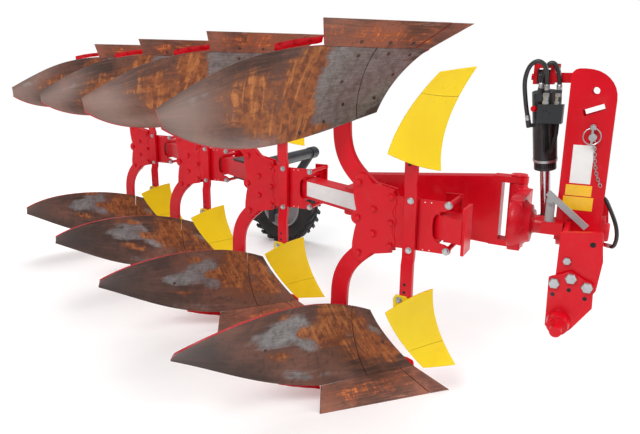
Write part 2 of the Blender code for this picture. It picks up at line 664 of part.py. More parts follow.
# ---- the headstock ------------------------------------------------------------------------------
def build_headstock():
    plates = []
    for side in (-1, 1):
        y = AXIS_SIDE + side * TOWER_HALF_WIDTH
        outline = [(TOWER_REAR, BEAM_HEIGHT - 0.04), (TOWER_FRONT, BEAM_HEIGHT - 0.04),
                   *arc(TOWER_FRONT - 0.13, TOWER_TOP - 0.13, 0.13, 0, 90, 8),
                   *arc(TOWER_REAR + 0.03, TOWER_TOP - 0.03, 0.03, 90, 180, 3)]
        tower = plate(outline, y, TOWER_PLATE)
        slot = box((0.505, y, 1.408), (0.085, 0.05, 0.026))
        slot.data.transform(Matrix.Translation((0.505, 0, 1.408)) @ Matrix.Rotation(radians(-20), 4, "Y")
                            @ Matrix.Translation((-0.505, 0, -1.408)))
        plates.append(cut(
            tower, slot,
            rod((0.504, y - 0.05, 1.485), (0.504, y + 0.05, 1.485), 0.016, sides=16),
            rod((TOP_PIN_AT[0], y - 0.05, TOP_PIN_AT[1]), (TOP_PIN_AT[0], y + 0.05, TOP_PIN_AT[1]),
                TOP_PIN_RADIUS + GAP, sides=20),
        ))
    inside = TOWER_HALF_WIDTH
    spindle_clamp = box_between((0.352, -0.004, BEAM_HEIGHT - 0.010), (0.440, 0.070, BEAM_HEIGHT + 0.0435))
    web = box_between((TOWER_REAR + 0.004, AXIS_SIDE - inside, 0.99), (TOWER_REAR + 0.020, AXIS_SIDE + inside, 1.42))
    top_x, top_z = CYLINDER_TOP
    arm = box_between((top_x + 0.038, AXIS_SIDE - 0.030, top_z - 0.045), (TOWER_REAR + 0.020, AXIS_SIDE + 0.030,
                                                                       top_z - 0.003))
    bridge = box_between((TOWER_REAR + 0.004, AXIS_SIDE - inside, top_z - 0.050),
                         (TOWER_REAR + 0.045, AXIS_SIDE + inside, top_z))
    ears = []
    for side in (-1, 1):
        x = top_x + side * 0.034
        ears.append(box((x, AXIS_SIDE, top_z - 0.015), (0.016, 0.060, 0.075)))
    tie = box_between((top_x - 0.042, AXIS_SIDE - 0.030, top_z + 0.0155), (top_x + 0.060, AXIS_SIDE + 0.030,
                                                                        top_z + 0.034))
    pin = rod((top_x - 0.052, AXIS_SIDE, top_z - 0.022), (top_x + 0.052, AXIS_SIDE, top_z - 0.022), 0.014, sides=16)
    housing = rod((HOUSING_REAR, AXIS_SIDE, BEAM_HEIGHT), (HOUSING_FRONT - 0.03, AXIS_SIDE, BEAM_HEIGHT),
                  HOUSING_RADIUS, sides=32)
    ring = rod((HOUSING_FRONT - 0.034, AXIS_SIDE, BEAM_HEIGHT), (HOUSING_FRONT, AXIS_SIDE, BEAM_HEIGHT), 0.070,
               sides=32)
    cross = box_between((0.452, AXIS_SIDE - HITCH_PLATE_SIDE - 0.004, 0.700),
                        (0.580, AXIS_SIDE + HITCH_PLATE_SIDE + 0.004, 0.805))
    sides = []
    for side in (-1, 1):
        y = AXIS_SIDE + side * HITCH_PLATE_SIDE
        sides.append(plate([(0.448, 0.640), (0.560, 0.640), (0.602, 0.720), (0.614, 0.840), (0.600, 0.958),
                            (0.450, 0.940)], y, HITCH_PLATE))
        sides.append(box_between((0.452, min(y, AXIS_SIDE), 0.86), (0.470, max(y, AXIS_SIDE), 0.93)))
    line = hose_line(HOUSING_HOSE)
    top_stub = hose_stub(line, 0.040, 0.010)
    ring_stub = hose_stub(line[::-1], 0.030, 0.0095)
    bore = rod((0.2, AXIS_SIDE, BEAM_HEIGHT), (0.7, AXIS_SIDE, BEAM_HEIGHT), SHAFT_RADIUS + RUNNING_GAP, sides=28)
    made = cut(joined(*plates, web, bridge, arm, *ears, tie, pin, housing, ring, cross, *sides, top_stub, ring_stub,
                      spindle_clamp),
               bore)
    finish("housing_hose", hose(line, HOUSING_HOSE_RADIUS), HOSE_RUBBER, plough)
    finish("headstock", made, PAINT, plough)


def build_top_pin():
    x, z = TOP_PIN_AT
    end = TOWER_HALF_WIDTH + TOWER_PLATE / 2
    made = joined(rod((x, AXIS_SIDE - end - 0.030, z), (x, AXIS_SIDE + end + 0.030, z), TOP_PIN_RADIUS, sides=20),
                  rod((x, AXIS_SIDE + end + GAP, z), (x, AXIS_SIDE + end + 0.010, z), 0.026, sides=20))
    finish("top_link_pin", made, ZINCED, plough)


def build_tilt_spindle():
    """The spindle that sets the turned angle, in its clamp beside the housing, with its folded handle."""
    side = 0.020
    foot = BEAM_HEIGHT + 0.0435
    stand = rod((0.380, side, foot + GAP), (0.380, side, foot + 0.105), 0.019, sides=20)
    handle = box((0.0, 0.0, 0.0), (0.215, 0.012, 0.026))
    turn = Matrix.Translation((0.450, side - 0.030, 0.988)) @ Matrix.Rotation(radians(39.5), 4, "Y")
    handle.data.transform(turn)
    hub = rod((0.380, side + 0.004, foot + 0.100), (0.380, side - 0.036, foot + 0.100), 0.014, sides=16)
    finish("tilt_spindle", joined(stand, hub, handle), ZINCED, plough)


def build_lower_links():
    x, z = LINK_PIN_AT
    for side, name in ((-1, "right"), (1, "left")):
        inner = AXIS_SIDE + side * (HITCH_PLATE_SIDE + HITCH_PLATE / 2 + GAP)
        y = inner + side * 0.009
        bracket = plate([(0.430, 0.545), *arc(x, z, 0.056, 230, 330, 4), (0.596, 0.650), (0.592, 0.745),
                         (0.505, 0.790), (0.425, 0.752)], y, 0.018)
        boss_end = inner + side * 0.075
        step_end = inner + side * 0.095
        end = AXIS_SIDE + side * LINK_PIN_SPREAD / 2
        made = joined(bracket, rod((x, y, z), (x, boss_end, z), LINK_BOSS_RADIUS + 0.006, LINK_BOSS_RADIUS),
                      rod((x, boss_end - side * 0.004, z), (x, step_end, z), LINK_STEP_RADIUS),
                      rod((x, step_end - side * 0.004, z), (x, end, z), LINK_PIN_RADIUS))
        finish(f"lower_link_pin_{name}", made, PAINT, plough)


# ---- hoses: the points that each one passes through ---------------------------------------------
HOSE_LEFT = [Vector(p) for p in (
    (0.240, 0.110, 1.352), (0.226, 0.092, 1.430), (0.219, 0.062, 1.520), (0.236, 0.046, 1.582),
    (0.268, 0.042, 1.603), (0.298, 0.044, 1.584), (0.309, 0.050, 1.540), (0.313, 0.056, 1.486))]
HOSE_RIGHT = [Vector(p) for p in (
    (0.361, 0.066, 1.486), (0.357, 0.066, 1.535), (0.343, 0.066, 1.580), (0.322, 0.066, 1.597),
    (0.302, 0.066, 1.582), (0.291, 0.066, 1.540), (0.286, 0.067, 1.492))]
HOUSING_HOSE = [Vector(p) for p in (
    (0.555, 0.120, 0.990), (0.562, 0.108, 1.022), (0.586, 0.086, 1.034), (0.612, 0.070, 0.996),
    (0.642, 0.062, 0.930), (0.652, 0.064, 0.875), (0.644, 0.082, 0.830), (0.620, 0.108, 0.8235))]


def hose_line(points):
    """Points close together on one smooth curve through a hose's own points."""
    ends = [2 * points[0] - points[1], *points, 2 * points[-1] - points[-2]]
    places = []
    for a, b, c, d in zip(ends, ends[1:], ends[2:], ends[3:]):
        for t in np.arange(0.0, 1.0, 1 / 3):
            places.append(0.5 * (2 * b + (c - a) * t + (2 * a - 5 * b + 4 * c - d) * t ** 2
                                 + (3 * b - a - 3 * c + d) * t ** 3))
    return [*places, points[-1]]


def hose_stub(line, reach, radius):
    """A fitting in line with the end of a hose, from just short of it outwards."""
    end = line[0]
    way = (end - line[1]).normalized()
    return rod(end + way * GAP, end + way * reach, radius, sides=12)


def hose(places, radius):
    """A round hose along the points of its line."""
    curve = bpy.data.curves.new("hose", "CURVE")
    curve.dimensions = "3D"
    curve.bevel_depth = radius
    curve.bevel_resolution = 2
    curve.use_fill_caps = True
    spline = curve.splines.new("POLY")
    spline.points.add(len(places) - 1)
    for point, place in zip(spline.points, places):
        point.co = (*place, 1.0)
    return as_mesh(solid("hose", curve))


# ---- the turnover cylinder ----------------------------------------------------------------------
CYLINDER_PIN = Vector((CYLINDER_TOP[0], AXIS_SIDE, CYLINDER_TOP[1] - 0.022))
ROD_PIN = Vector((CYLINDER_EYE_AT, AXIS_SIDE + CRANK_RADIUS, BEAM_HEIGHT))
CYLINDER_DIRECTION = (ROD_PIN - CYLINDER_PIN).normalized()


def build_cylinder():
    swing = empty("cylinder_axis", CYLINDER_PIN, plough)
    slide = empty("rod_axis", ROD_PIN, swing)
    down = CYLINDER_DIRECTION

    def spot(distance):
        return CYLINDER_PIN + down * distance

    base = 0.062
    end = base + BARREL_LENGTH
    tube = rod(spot(base), spot(end), BARREL_RADIUS, sides=32)
    gland = rod(spot(end - 0.010), spot(end + GLAND_LENGTH), BARREL_RADIUS * 0.94, sides=32)
    lug = rod(CYLINDER_PIN - Vector((0.022, 0, 0)), CYLINDER_PIN + Vector((0.022, 0, 0)), 0.032, sides=20)
    neck = rod(spot(0.012), spot(base + 0.01), 0.017, sides=16)
    eye = rod(CYLINDER_PIN - Vector((0.05, 0, 0)), CYLINDER_PIN + Vector((0.05, 0, 0)), 0.014 + EYE_PLAY,
              sides=16)
    bore = rod(spot(base + 0.030), spot(end + 0.10), ROD_RADIUS + RUNNING_GAP, sides=24)
    left_line, right_line = hose_line(HOSE_LEFT), hose_line(HOSE_RIGHT)
    port = hose_stub(left_line, 0.034, FITTING_RADIUS)
    feed = rod(HOSE_LEFT[0] - Vector((0.0, 0.0, 0.024)), HOSE_LEFT[0] + Vector((0.030, 0.020, -0.024)), 0.009,
               sides=12)
    stub = hose_stub(right_line[::-1], 0.052, FITTING_RADIUS)
    seat = box_between(HOSE_RIGHT[-1] - Vector((0.014, 0.012, 0.056)), HOSE_RIGHT[-1] + Vector((0.014, 0.030, -0.022)))
    body = joined(tube, gland, lug, neck, port, feed, seat, stub)
    finish("cylinder_barrel", cut(body, eye, bore), DARK_PAINT, swing)

    total = (ROD_PIN - CYLINDER_PIN).length
    inner = base + 0.030 + ROD_STROKE + 0.006
    shank = rod(spot(inner), spot(total - 0.010), ROD_RADIUS, sides=24)
    rod_eye = rod(ROD_PIN - Vector((0.020, 0, 0)), ROD_PIN + Vector((0.020, 0, 0)), ROD_EYE_RADIUS, sides=24)
    crank_pin = rod(ROD_PIN, (CRANK_AT + 0.009 + 0.0055, ROD_PIN.y, ROD_PIN.z), 0.020, sides=16)
    finish("cylinder_rod", joined(shank, rod_eye, crank_pin), CHROMED, slide)

    block = box_between((0.283, 0.040, 1.345), (0.385, 0.112, 1.425))
    tops = [hose_stub(line, 0.068, FITTING_RADIUS) for line in (left_line[::-1], right_line)]
    shape = cut(joined(block, *tops), rod(spot(0.0), spot(end), BARREL_RADIUS + GAP, sides=32))
    finish("valve_block", shape, DARK_PAINT, swing)
    finish("cylinder_hose_left", hose(left_line, HOSE_RADIUS), HOSE_RUBBER, swing)
    finish("cylinder_hose_right", hose(right_line, HOSE_RADIUS), HOSE_RUBBER, swing)


# ---- the depth wheel ----------------------------------------------------------------------------
def turned(profile, centre, steps=RENDER_STEPS):
    """A ring about a sideways axis: its profile as (radius, side) points, down the outer side."""
    mesh = bpy.data.meshes.new("profile")
    points = [(r, 0.0, s) for r, s in profile]
    mesh.from_pydata(points, [(i, (i + 1) % len(points)) for i in range(len(points))], [])
    made = solid("turned", mesh)
    screw = made.modifiers.new("turn", "SCREW")
    screw.steps = steps
    screw.render_steps = steps
    screw.use_merge_vertices = True
    screw.merge_threshold = 0.00005
    made.matrix_world = Matrix.Translation(centre) @ Matrix.Rotation(-pi / 2, 4, "X")
    return as_mesh(made)


def build_wheel():
    x, y, z = WHEEL_AT
    arm_axis = empty("wheel_arm_axis", (WHEEL_PIVOT_X, WHEEL_ARM_SIDE, BEAM_HEIGHT), turning)
    wheel_axis = empty("wheel_axis", WHEEL_AT, arm_axis)
    half = TYRE_WIDTH / 2
    tyre = turned([(RIM_RADIUS + GAP, half * 0.74), (RIM_RADIUS + 0.055, half), (WHEEL_RADIUS - 0.035, half),
                   (WHEEL_RADIUS, half * 0.72), (WHEEL_RADIUS, -half * 0.72), (WHEEL_RADIUS - 0.035, -half),
                   (RIM_RADIUS + 0.055, -half), (RIM_RADIUS + GAP, -half * 0.74)], WHEEL_AT)
    finish("wheel_tyre", tyre, TYRE_RUBBER, wheel_axis)
    rim = turned([(0.024, 0.050), (HUB_RADIUS, 0.050), (HUB_RADIUS, 0.012), (RIM_RADIUS - 0.030, 0.006),
                  (RIM_RADIUS - 0.020, half * 0.70), (RIM_RADIUS, half * 0.74), (RIM_RADIUS, -half * 0.74),
                  (RIM_RADIUS - 0.020, -half * 0.70), (RIM_RADIUS - 0.030, -0.006), (HUB_RADIUS, -0.012),
                  (HUB_RADIUS, -0.050), (0.024, -0.050)], WHEEL_AT)
    finish("wheel_rim", rim, RIM_PAINT, wheel_axis)

    pivot = Vector((WHEEL_PIVOT_X, WHEEL_ARM_SIDE, BEAM_HEIGHT))
    hub = Vector(WHEEL_AT)
    low = Vector((x, WHEEL_ARM_SIDE, z))
    sleeve = rod(pivot - Vector((0, 0.045, 0)), pivot + Vector((0, 0.045, 0)), 0.050, sides=24)
    tube = rod(pivot, low, 0.036, sides=20)
    foot = rod(low - Vector((0, 0.040, 0)), low + Vector((0, 0.040, 0)), 0.044, sides=20)
    axle = rod(low, hub + Vector((0, 0.075, 0)), 0.0234, sides=20)
    cap = rod(hub + Vector((0, 0.0520, 0)), hub + Vector((0, 0.075, 0)), 0.034, sides=20)
    collar = rod(low, hub - Vector((0, 0.0520, 0)), 0.034, sides=20)
    bore = rod(pivot - Vector((0, 0.2, 0)), pivot + Vector((0, 0.2, 0)), 0.030 + RUNNING_GAP, sides=24)
    bar = box_between((x - 0.02, WHEEL_ARM_SIDE - 0.070, z - 0.10), (x + 0.025, WHEEL_ARM_SIDE - 0.035, z + 0.16))
    made = cut(joined(sleeve, tube, foot, collar, axle, cap, bar), bore)
    finish("wheel_arm", made, DARK_PAINT, arm_axis)

    side = beam_side(WHEEL_PIVOT_X) + BEAM_SIZE / 2 / cos(BEAM_ANGLE)
    carrier = joined(
        rod((WHEEL_PIVOT_X, side - 0.05, BEAM_HEIGHT), (WHEEL_PIVOT_X, WHEEL_ARM_SIDE - 0.050, BEAM_HEIGHT), 0.045,
            sides=24),
        rod((WHEEL_PIVOT_X, WHEEL_ARM_SIDE - 0.060, BEAM_HEIGHT), (WHEEL_PIVOT_X, WHEEL_ARM_SIDE + 0.062,
                                                                   BEAM_HEIGHT), 0.030, sides=24),
        rod((WHEEL_PIVOT_X, WHEEL_ARM_SIDE + 0.050, BEAM_HEIGHT), (WHEEL_PIVOT_X, WHEEL_ARM_SIDE + 0.062,
                                                                   BEAM_HEIGHT), 0.044, sides=24),
        flat_plate([(WHEEL_PIVOT_X - 0.10, beam_side(WHEEL_PIVOT_X - 0.10) - 0.05),
                    (WHEEL_PIVOT_X + 0.10, beam_side(WHEEL_PIVOT_X + 0.10) - 0.05),
                    (WHEEL_PIVOT_X + 0.10, side + 0.05), (WHEEL_PIVOT_X - 0.10, side + 0.05)],
                   BEAM_HEIGHT, BEAM_SIZE + 0.030),
    )
    finish("wheel_carrier", cut(carrier, beam_solid(GAP)), DARK_PAINT, turning)


def centre_over_footprint():
    """Moves the whole machine so that the origin lies under the middle of its bounding box."""
    bpy.context.view_layer.update()
    corners = np.array([part.matrix_world @ Vector(corner) for part in PARTS.objects
                        if part.type == "MESH" for corner in part.bound_box])
    low, high = corners.min(axis=0), corners.max(axis=0)
    plough.location = (-(low[0] + high[0]) / 2, -(low[1] + high[1]) / 2, -low[2])
    bpy.context.view_layer.update()


build_beam()
build_bodies()
build_front_arm()
build_yoke()
build_headstock()
build_top_pin()
build_lower_links()
build_tilt_spindle()
build_cylinder()
build_wheel()
centre_over_footprint()
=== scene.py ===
"""The finished look of a four-furrow mounted reversible plough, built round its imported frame.

Shapes are worked out in the plough's own setting-out frame: metres, +X the direction of travel, +Y the
unploughed side, +Z up, with the front lower share point at the origin. SET_OUT carries that frame into
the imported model's. A shape is a pair (points, faces); pieces are made from one or several of them.
"""

from math import cos, pi, radians, sin

import bmesh
import bpy
import numpy as np
from mathutils import Matrix, Vector


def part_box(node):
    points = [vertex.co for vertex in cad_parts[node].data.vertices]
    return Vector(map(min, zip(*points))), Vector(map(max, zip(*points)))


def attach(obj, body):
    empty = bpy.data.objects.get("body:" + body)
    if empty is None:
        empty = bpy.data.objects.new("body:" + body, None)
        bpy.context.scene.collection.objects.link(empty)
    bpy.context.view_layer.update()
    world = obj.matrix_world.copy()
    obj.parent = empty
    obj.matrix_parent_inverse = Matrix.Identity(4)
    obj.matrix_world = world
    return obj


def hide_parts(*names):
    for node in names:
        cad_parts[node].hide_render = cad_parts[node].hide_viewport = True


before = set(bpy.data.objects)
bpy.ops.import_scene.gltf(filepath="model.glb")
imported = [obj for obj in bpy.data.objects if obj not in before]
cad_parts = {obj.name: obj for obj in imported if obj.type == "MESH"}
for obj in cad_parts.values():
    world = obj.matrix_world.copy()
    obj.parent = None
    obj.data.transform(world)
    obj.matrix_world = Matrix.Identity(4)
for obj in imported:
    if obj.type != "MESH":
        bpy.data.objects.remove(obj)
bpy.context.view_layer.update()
KINGPIN_AT = (0.195, 0.335)      # in the setting-out frame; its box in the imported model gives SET_OUT
pin_low, pin_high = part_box("kingpin")
SET_OUT = np.array([(pin_low[i] + pin_high[i]) / 2 - KINGPIN_AT[i] for i in (0, 1)] + [0.0])

BEAM_HEIGHT = 0.88
BEAM_HALF = 0.055                # half the square beam's side
BODY_STEP = np.array([-0.95, 0.47, 0.0])      # from one body to the next
AXIS_SIDE = 0.12                 # the turnover axis, to the unploughed side of the front share point
SEAT_GAP = 0.0003                # between plates that lie on one another
BODIES = 4
UP = (0, 0, 1)
RIGHT = (0, -1, 0)               # the ploughed side, which the plates face

# ---- camera, floor and light --------------------------------------------------------------------
CAMERA_AT = (0.618, -2.627, 1.551)
CAMERA_TURN = radians(27.4)
CAMERA_TILT = radians(75.9)
CAMERA_ROLL = radians(0.49)
camera_data = bpy.data.cameras.new("camera")
camera_data.sensor_width = 36.0
camera_data.lens = 32.45625
camera = bpy.data.objects.new("camera", camera_data)
camera.location = Vector(CAMERA_AT) + Vector(SET_OUT)
camera.rotation_euler = (Matrix.Rotation(CAMERA_TURN, 4, "Z") @ Matrix.Rotation(CAMERA_TILT, 4, "X")
                         @ Matrix.Rotation(CAMERA_ROLL, 4, "Z")).to_euler()
bpy.context.scene.collection.objects.link(camera)
bpy.context.scene.camera = camera
bpy.context.scene.view_settings.view_transform = "Standard"


# ---- shader tools -------------------------------------------------------------------------------
class Nodes:
    """A thin hand for building node trees: add() makes a node, sets it up and wires its inputs."""

    def __init__(self, tree):
        self.tree = tree

    def add(self, kind, inputs=None, **settings):
        """A shader node with its settings. An input is a number, a colour or another node's output."""
        node = self.tree.nodes.new("ShaderNode" + kind)
        for key, value in settings.items():
            setattr(node, key, value)
        for key, value in (inputs or {}).items():
            if isinstance(value, bpy.types.NodeSocket):
                self.tree.links.new(value, node.inputs[key])
            else:
                node.inputs[key].default_value = value
        return node

    def math(self, operation, a, b=0.0, clamp=False):
        """A sum, a product or the like of two values."""
        return self.add("Math", {0: a, 1: b}, operation=operation, use_clamp=clamp).outputs[0]

    def span(self, value, low, high, to_low=0.0, to_high=1.0):
        """Smoothly maps low..high onto to_low..to_high, clamped."""
        node = self.add("MapRange", {"Value": value, "From Min": low, "From Max": high,
                                     "To Min": to_low, "To Max": to_high}, interpolation_type="SMOOTHSTEP")
        return node.outputs[0]

    def mix(self, factor, a, b, blend_type="MIX"):
        """Colour a turning into colour b as the factor goes from 0 to 1."""
        node = self.add("Mix", data_type="RGBA", blend_type=blend_type)
        for index, value in ((0, factor), (6, a), (7, b)):
            if isinstance(value, bpy.types.NodeSocket):
                self.tree.links.new(value, node.inputs[index])
            else:
                node.inputs[index].default_value = value
        return node.outputs[2]

    def noise(self, vector, scale, detail=4.0, rough=0.55, distortion=0.0):
        """Fractal noise from 0 to 1, with scale waves to the metre."""
        return self.add("TexNoise", {"Vector": vector, "Scale": scale, "Detail": detail, "Roughness": rough,
                                     "Distortion": distortion}).outputs["Fac"]

    def stretched(self, vector, size):
        """A place scaled by its own number along each axis, so that a noise on it runs in streaks."""
        return self.add("Mapping", {"Vector": vector, "Scale": size}).outputs[0]


def shader_group(name, inputs, outputs, build):
    """A node group with named sockets. build(nodes, incoming) returns the sockets for its outputs."""
    tree = bpy.data.node_groups.new(name, "ShaderNodeTree")
    for label, kind, default in inputs:
        socket = tree.interface.new_socket(label, in_out="INPUT", socket_type="NodeSocket" + kind)
        if default is not None:
            socket.default_value = default
    for label, kind in outputs:
        tree.interface.new_socket(label, in_out="OUTPUT", socket_type="NodeSocket" + kind)
    entry = tree.nodes.new("NodeGroupInput")
    leave = tree.nodes.new("NodeGroupOutput")
    made = build(Nodes(tree), {s.name: s for s in entry.outputs if s.name})
    for label, socket in made.items():
        tree.links.new(socket, leave.inputs[label])
    return tree


def build_paint(nodes, given):
    """Paint: slow drifts of tone, dust, a few chips to a darker ground, and a fine skin."""
    place = given["Place"]
    drift = nodes.noise(place, 2.6, 3.0)
    cloud = nodes.noise(place, 14.0, 5.0, 0.6)
    grain = nodes.noise(place, 420.0, 2.0)
    chips = nodes.noise(place, 95.0, 4.0, 0.7)
    tone = nodes.mix(nodes.span(drift, 0.35, 0.68), given["Colour"], given["Deep colour"])
    dust = nodes.math("MULTIPLY", nodes.span(cloud, 0.5, 0.75), given["Dust"])
    tone = nodes.mix(dust, tone, (0.42, 0.34, 0.29, 1.0))
    chip = nodes.math("MULTIPLY", nodes.span(chips, 0.70, 0.745), given["Chips"])
    tone = nodes.mix(chip, tone, (0.09, 0.055, 0.045, 1.0))
    rough = nodes.math("ADD", given["Roughness"], nodes.math("MULTIPLY", cloud, 0.12))
    rough = nodes.math("ADD", rough, nodes.math("MULTIPLY", dust, 0.6), clamp=True)
    height = nodes.math("ADD", nodes.math("MULTIPLY", grain, given["Grain"]),
                        nodes.math("MULTIPLY", chip, -0.6))
    return {"Colour": tone, "Roughness": rough, "Height": height}


PAINT_GROUP = shader_group(
    "worn_paint",
    [("Place", "Vector", None), ("Colour", "Color", None), ("Deep colour", "Color", None),
     ("Dust", "Float", 0.1), ("Chips", "Float", 0.5), ("Roughness", "Float", 0.3), ("Grain", "Float", 0.3)],
    [("Colour", "Color"), ("Roughness", "Float"), ("Height", "Float")], build_paint)


def build_steel(nodes, given):
    """Ploughing steel: purple-brown film, bare ground metal and orange-brown rust over it.

    Rust and Bare say from 0 to 1 where each finish tends to lie. Painted light and tone darkens below 0 and
    pales above: on the boards it is painted shade over the wings and a painted highlight at the upper wing
    tips, on edge steel a plain darker tone.
    Noise at several sizes breaks the edges up. Flow runs (along, up, number) over a plate, so that streaks
    and scratches follow the soil's way across it and rust drips down it."""
    place, flow = given["Place"], given["Flow"]
    broad = nodes.noise(place, 3.4, 4.0, 0.55, 0.5)
    patch = nodes.noise(place, 9.5, 7.0, 0.62, 0.9)
    mottle = nodes.noise(place, 30.0, 6.0, 0.6, 0.3)
    fine = nodes.noise(place, 150.0, 4.0, 0.6)
    streak = nodes.noise(nodes.stretched(flow, (4.0, 34.0, 1.0)), 1.0, 6.0, 0.62, 0.6)
    drip = nodes.noise(nodes.stretched(flow, (38.0, 5.0, 1.0)), 1.0, 5.0, 0.6, 0.5)
    brushed = nodes.noise(nodes.stretched(flow, (7.0, 210.0, 1.0)), 1.0, 4.0, 0.6)
    waver = nodes.math("ADD", nodes.math("MULTIPLY", patch, 0.55), nodes.math("MULTIPLY", streak, 0.45))
    waver = nodes.math("SUBTRACT", waver, 0.5)
    film = nodes.mix(nodes.span(broad, 0.36, 0.64), (0.062, 0.033, 0.026, 1.0), (0.185, 0.078, 0.052, 1.0))
    film = nodes.mix(nodes.span(streak, 0.45, 0.68, 0.0, 0.5), film, (0.215, 0.100, 0.068, 1.0))
    film = nodes.mix(nodes.span(mottle, 0.50, 0.70, 0.0, 0.6), film, (0.045, 0.029, 0.025, 1.0))
    metal = nodes.mix(nodes.span(brushed, 0.3, 0.7), (0.190, 0.182, 0.178, 1.0), (0.300, 0.296, 0.300, 1.0))
    metal = nodes.mix(nodes.span(mottle, 0.42, 0.66, 0.0, 0.6), metal, (0.120, 0.104, 0.096, 1.0))
    bare = nodes.math("ADD", given["Bare"], nodes.math("MULTIPLY", waver, 1.5))
    bare = nodes.span(bare, 0.30, 0.66)
    tone = nodes.mix(bare, film, metal)
    rust = nodes.math("ADD", given["Rust"], nodes.math("MULTIPLY", waver, 1.5))
    rust = nodes.math("ADD", rust, nodes.math("MULTIPLY", nodes.math("SUBTRACT", drip, 0.5), 0.5))
    rust = nodes.span(rust, 0.24, 0.60)
    orange = nodes.mix(nodes.span(mottle, 0.38, 0.62), (0.150, 0.044, 0.018, 1.0), (0.300, 0.092, 0.027, 1.0))
    crest = nodes.span(nodes.math("ADD", drip, waver), 0.48, 0.72)
    bright = nodes.math("MULTIPLY", crest, nodes.span(rust, 0.5, 1.0))
    orange = nodes.mix(nodes.math("MULTIPLY", bright, 0.75), orange, (0.520, 0.190, 0.055, 1.0))
    tone = nodes.mix(rust, tone, orange)
    tone = nodes.mix(nodes.span(fine, 0.42, 0.68, 0.0, 0.28), tone, (0.060, 0.034, 0.026, 1.0))
    scratch = nodes.noise(nodes.stretched(flow, (9.0, 150.0, 1.0)), 1.0, 6.0, 0.75, 1.2)
    tone = nodes.mix(nodes.span(scratch, 0.68, 0.78, 0.0, 0.22), tone, (0.42, 0.36, 0.32, 1.0))
    # Below 0 this darkens the colour: painted shade on the boards, a plain darker tone on edge steel. Above 0
    # it paints a pale pinkish-grey highlight.
    shade_and_dark_tone = nodes.span(given["Tone"], -1.0, 0.0, 1.0, 0.0)
    tone = nodes.mix(nodes.math("MULTIPLY", shade_and_dark_tone, 0.78), tone, (0.036, 0.024, 0.021, 1.0))
    painted_highlight = nodes.span(given["Tone"], 0.0, 1.0, 0.0, 0.62)
    tone = nodes.mix(painted_highlight, tone, (0.40, 0.285, 0.245, 1.0))
    tone = nodes.mix(1.0, tone, given["Tint"], "MULTIPLY")
    rough = nodes.math("ADD", nodes.math("MULTIPLY", rust, 0.26), 0.46)
    rough = nodes.math("SUBTRACT", rough, nodes.math("MULTIPLY", bare, 0.10), clamp=True)
    shine = nodes.span(bare, 0.0, 1.0, 0.15, 0.45)
    metallic = nodes.math("MULTIPLY", nodes.math("SUBTRACT", 1.0, rust), shine)
    height = nodes.math("ADD", nodes.math("MULTIPLY", fine, 0.5),
                        nodes.math("MULTIPLY", nodes.math("MULTIPLY", mottle, rust), 0.8))
    return {"Colour": tone, "Roughness": rough, "Metallic": metallic, "Height": height}


STEEL_GROUP = shader_group(
    "ploughing_steel",
    [("Place", "Vector", None), ("Flow", "Vector", None), ("Rust", "Float", 0.5), ("Bare", "Float", 0.2),
     ("Tone", "Float", 0.0), ("Tint", "Color", (1.0, 1.0, 1.0, 1.0))],
    [("Colour", "Color"), ("Roughness", "Float"), ("Metallic", "Float"), ("Height", "Float")], build_steel)


def material(name, shader_values):
    """A material with its shader's own numbers set. Returns it, its nodes and the shader."""
    made = bpy.data.materials.new(name)
    made.use_nodes = True
    shader = made.node_tree.nodes["Principled BSDF"]
    for key, value in shader_values.items():
        shader.inputs[key].default_value = value
    return made, Nodes(made.node_tree), shader


def bumped(nodes, shader, height, strength, distance):
    """Leads a height through a bump into the shader's normal."""
    bump = nodes.add("Bump", {"Height": height, "Strength": strength, "Distance": distance})
    nodes.tree.links.new(bump.outputs[0], shader.inputs["Normal"])


def paint(name, colour, deep, dust=0.1, chips=0.4, rough=0.26, grain=0.3, coat=0.10, bump=0.25):
    """A worn paint between a colour and a deeper one, with a thin clear coat."""
    made, nodes, shader = material(name, {"Coat Weight": coat, "Coat Roughness": 0.12,
                                           "Specular IOR Level": 0.22})
    place = nodes.add("TexCoord").outputs["Object"]
    worn = nodes.add("Group", node_tree=PAINT_GROUP)
    for key, value in (("Colour", (*colour, 1.0)), ("Deep colour", (*deep, 1.0)), ("Dust", dust),
                       ("Chips", chips), ("Roughness", rough), ("Grain", grain)):
        worn.inputs[key].default_value = value
    nodes.tree.links.new(place, worn.inputs["Place"])
    nodes.tree.links.new(worn.outputs["Colour"], shader.inputs["Base Color"])
    nodes.tree.links.new(worn.outputs["Roughness"], shader.inputs["Roughness"])
    bumped(nodes, shader, worn.outputs["Height"], bump, 0.0012)
    return made


def steel(name, rust=None, bare=None, tone=0.0, tint=(1.0, 1.0, 1.0)):
    """Ploughing steel. Without numbers, its masks and its flow come from the piece's own attributes."""
    made, nodes, shader = material(name, {"Specular IOR Level": 0.35})
    place = nodes.add("TexCoord").outputs["Object"]
    worn = nodes.add("Group", node_tree=STEEL_GROUP)
    worn.inputs["Tint"].default_value = (*tint, 1.0)
    nodes.tree.links.new(place, worn.inputs["Place"])
    if rust is None:
        # The painted light zone brings the boards' painted shade and painted highlight into the group.
        for key, label in (("Rust", "rust_zone"), ("Bare", "bare_zone"), ("Tone", "tone_zone")):
            zone = nodes.add("Attribute", attribute_name=label)
            nodes.tree.links.new(zone.outputs["Fac"], worn.inputs[key])
        flow = nodes.add("Attribute", attribute_name="flow").outputs["Vector"]
    else:
        for key, value in (("Rust", rust), ("Bare", bare), ("Tone", tone)):
            worn.inputs[key].default_value = value
        flow = place
    nodes.tree.links.new(flow, worn.inputs["Flow"])
    for output, entry in (("Colour", "Base Color"), ("Roughness", "Roughness"), ("Metallic", "Metallic")):
        nodes.tree.links.new(worn.outputs[output], shader.inputs[entry])
    bumped(nodes, shader, worn.outputs["Height"], 0.30, 0.0012)
    return made


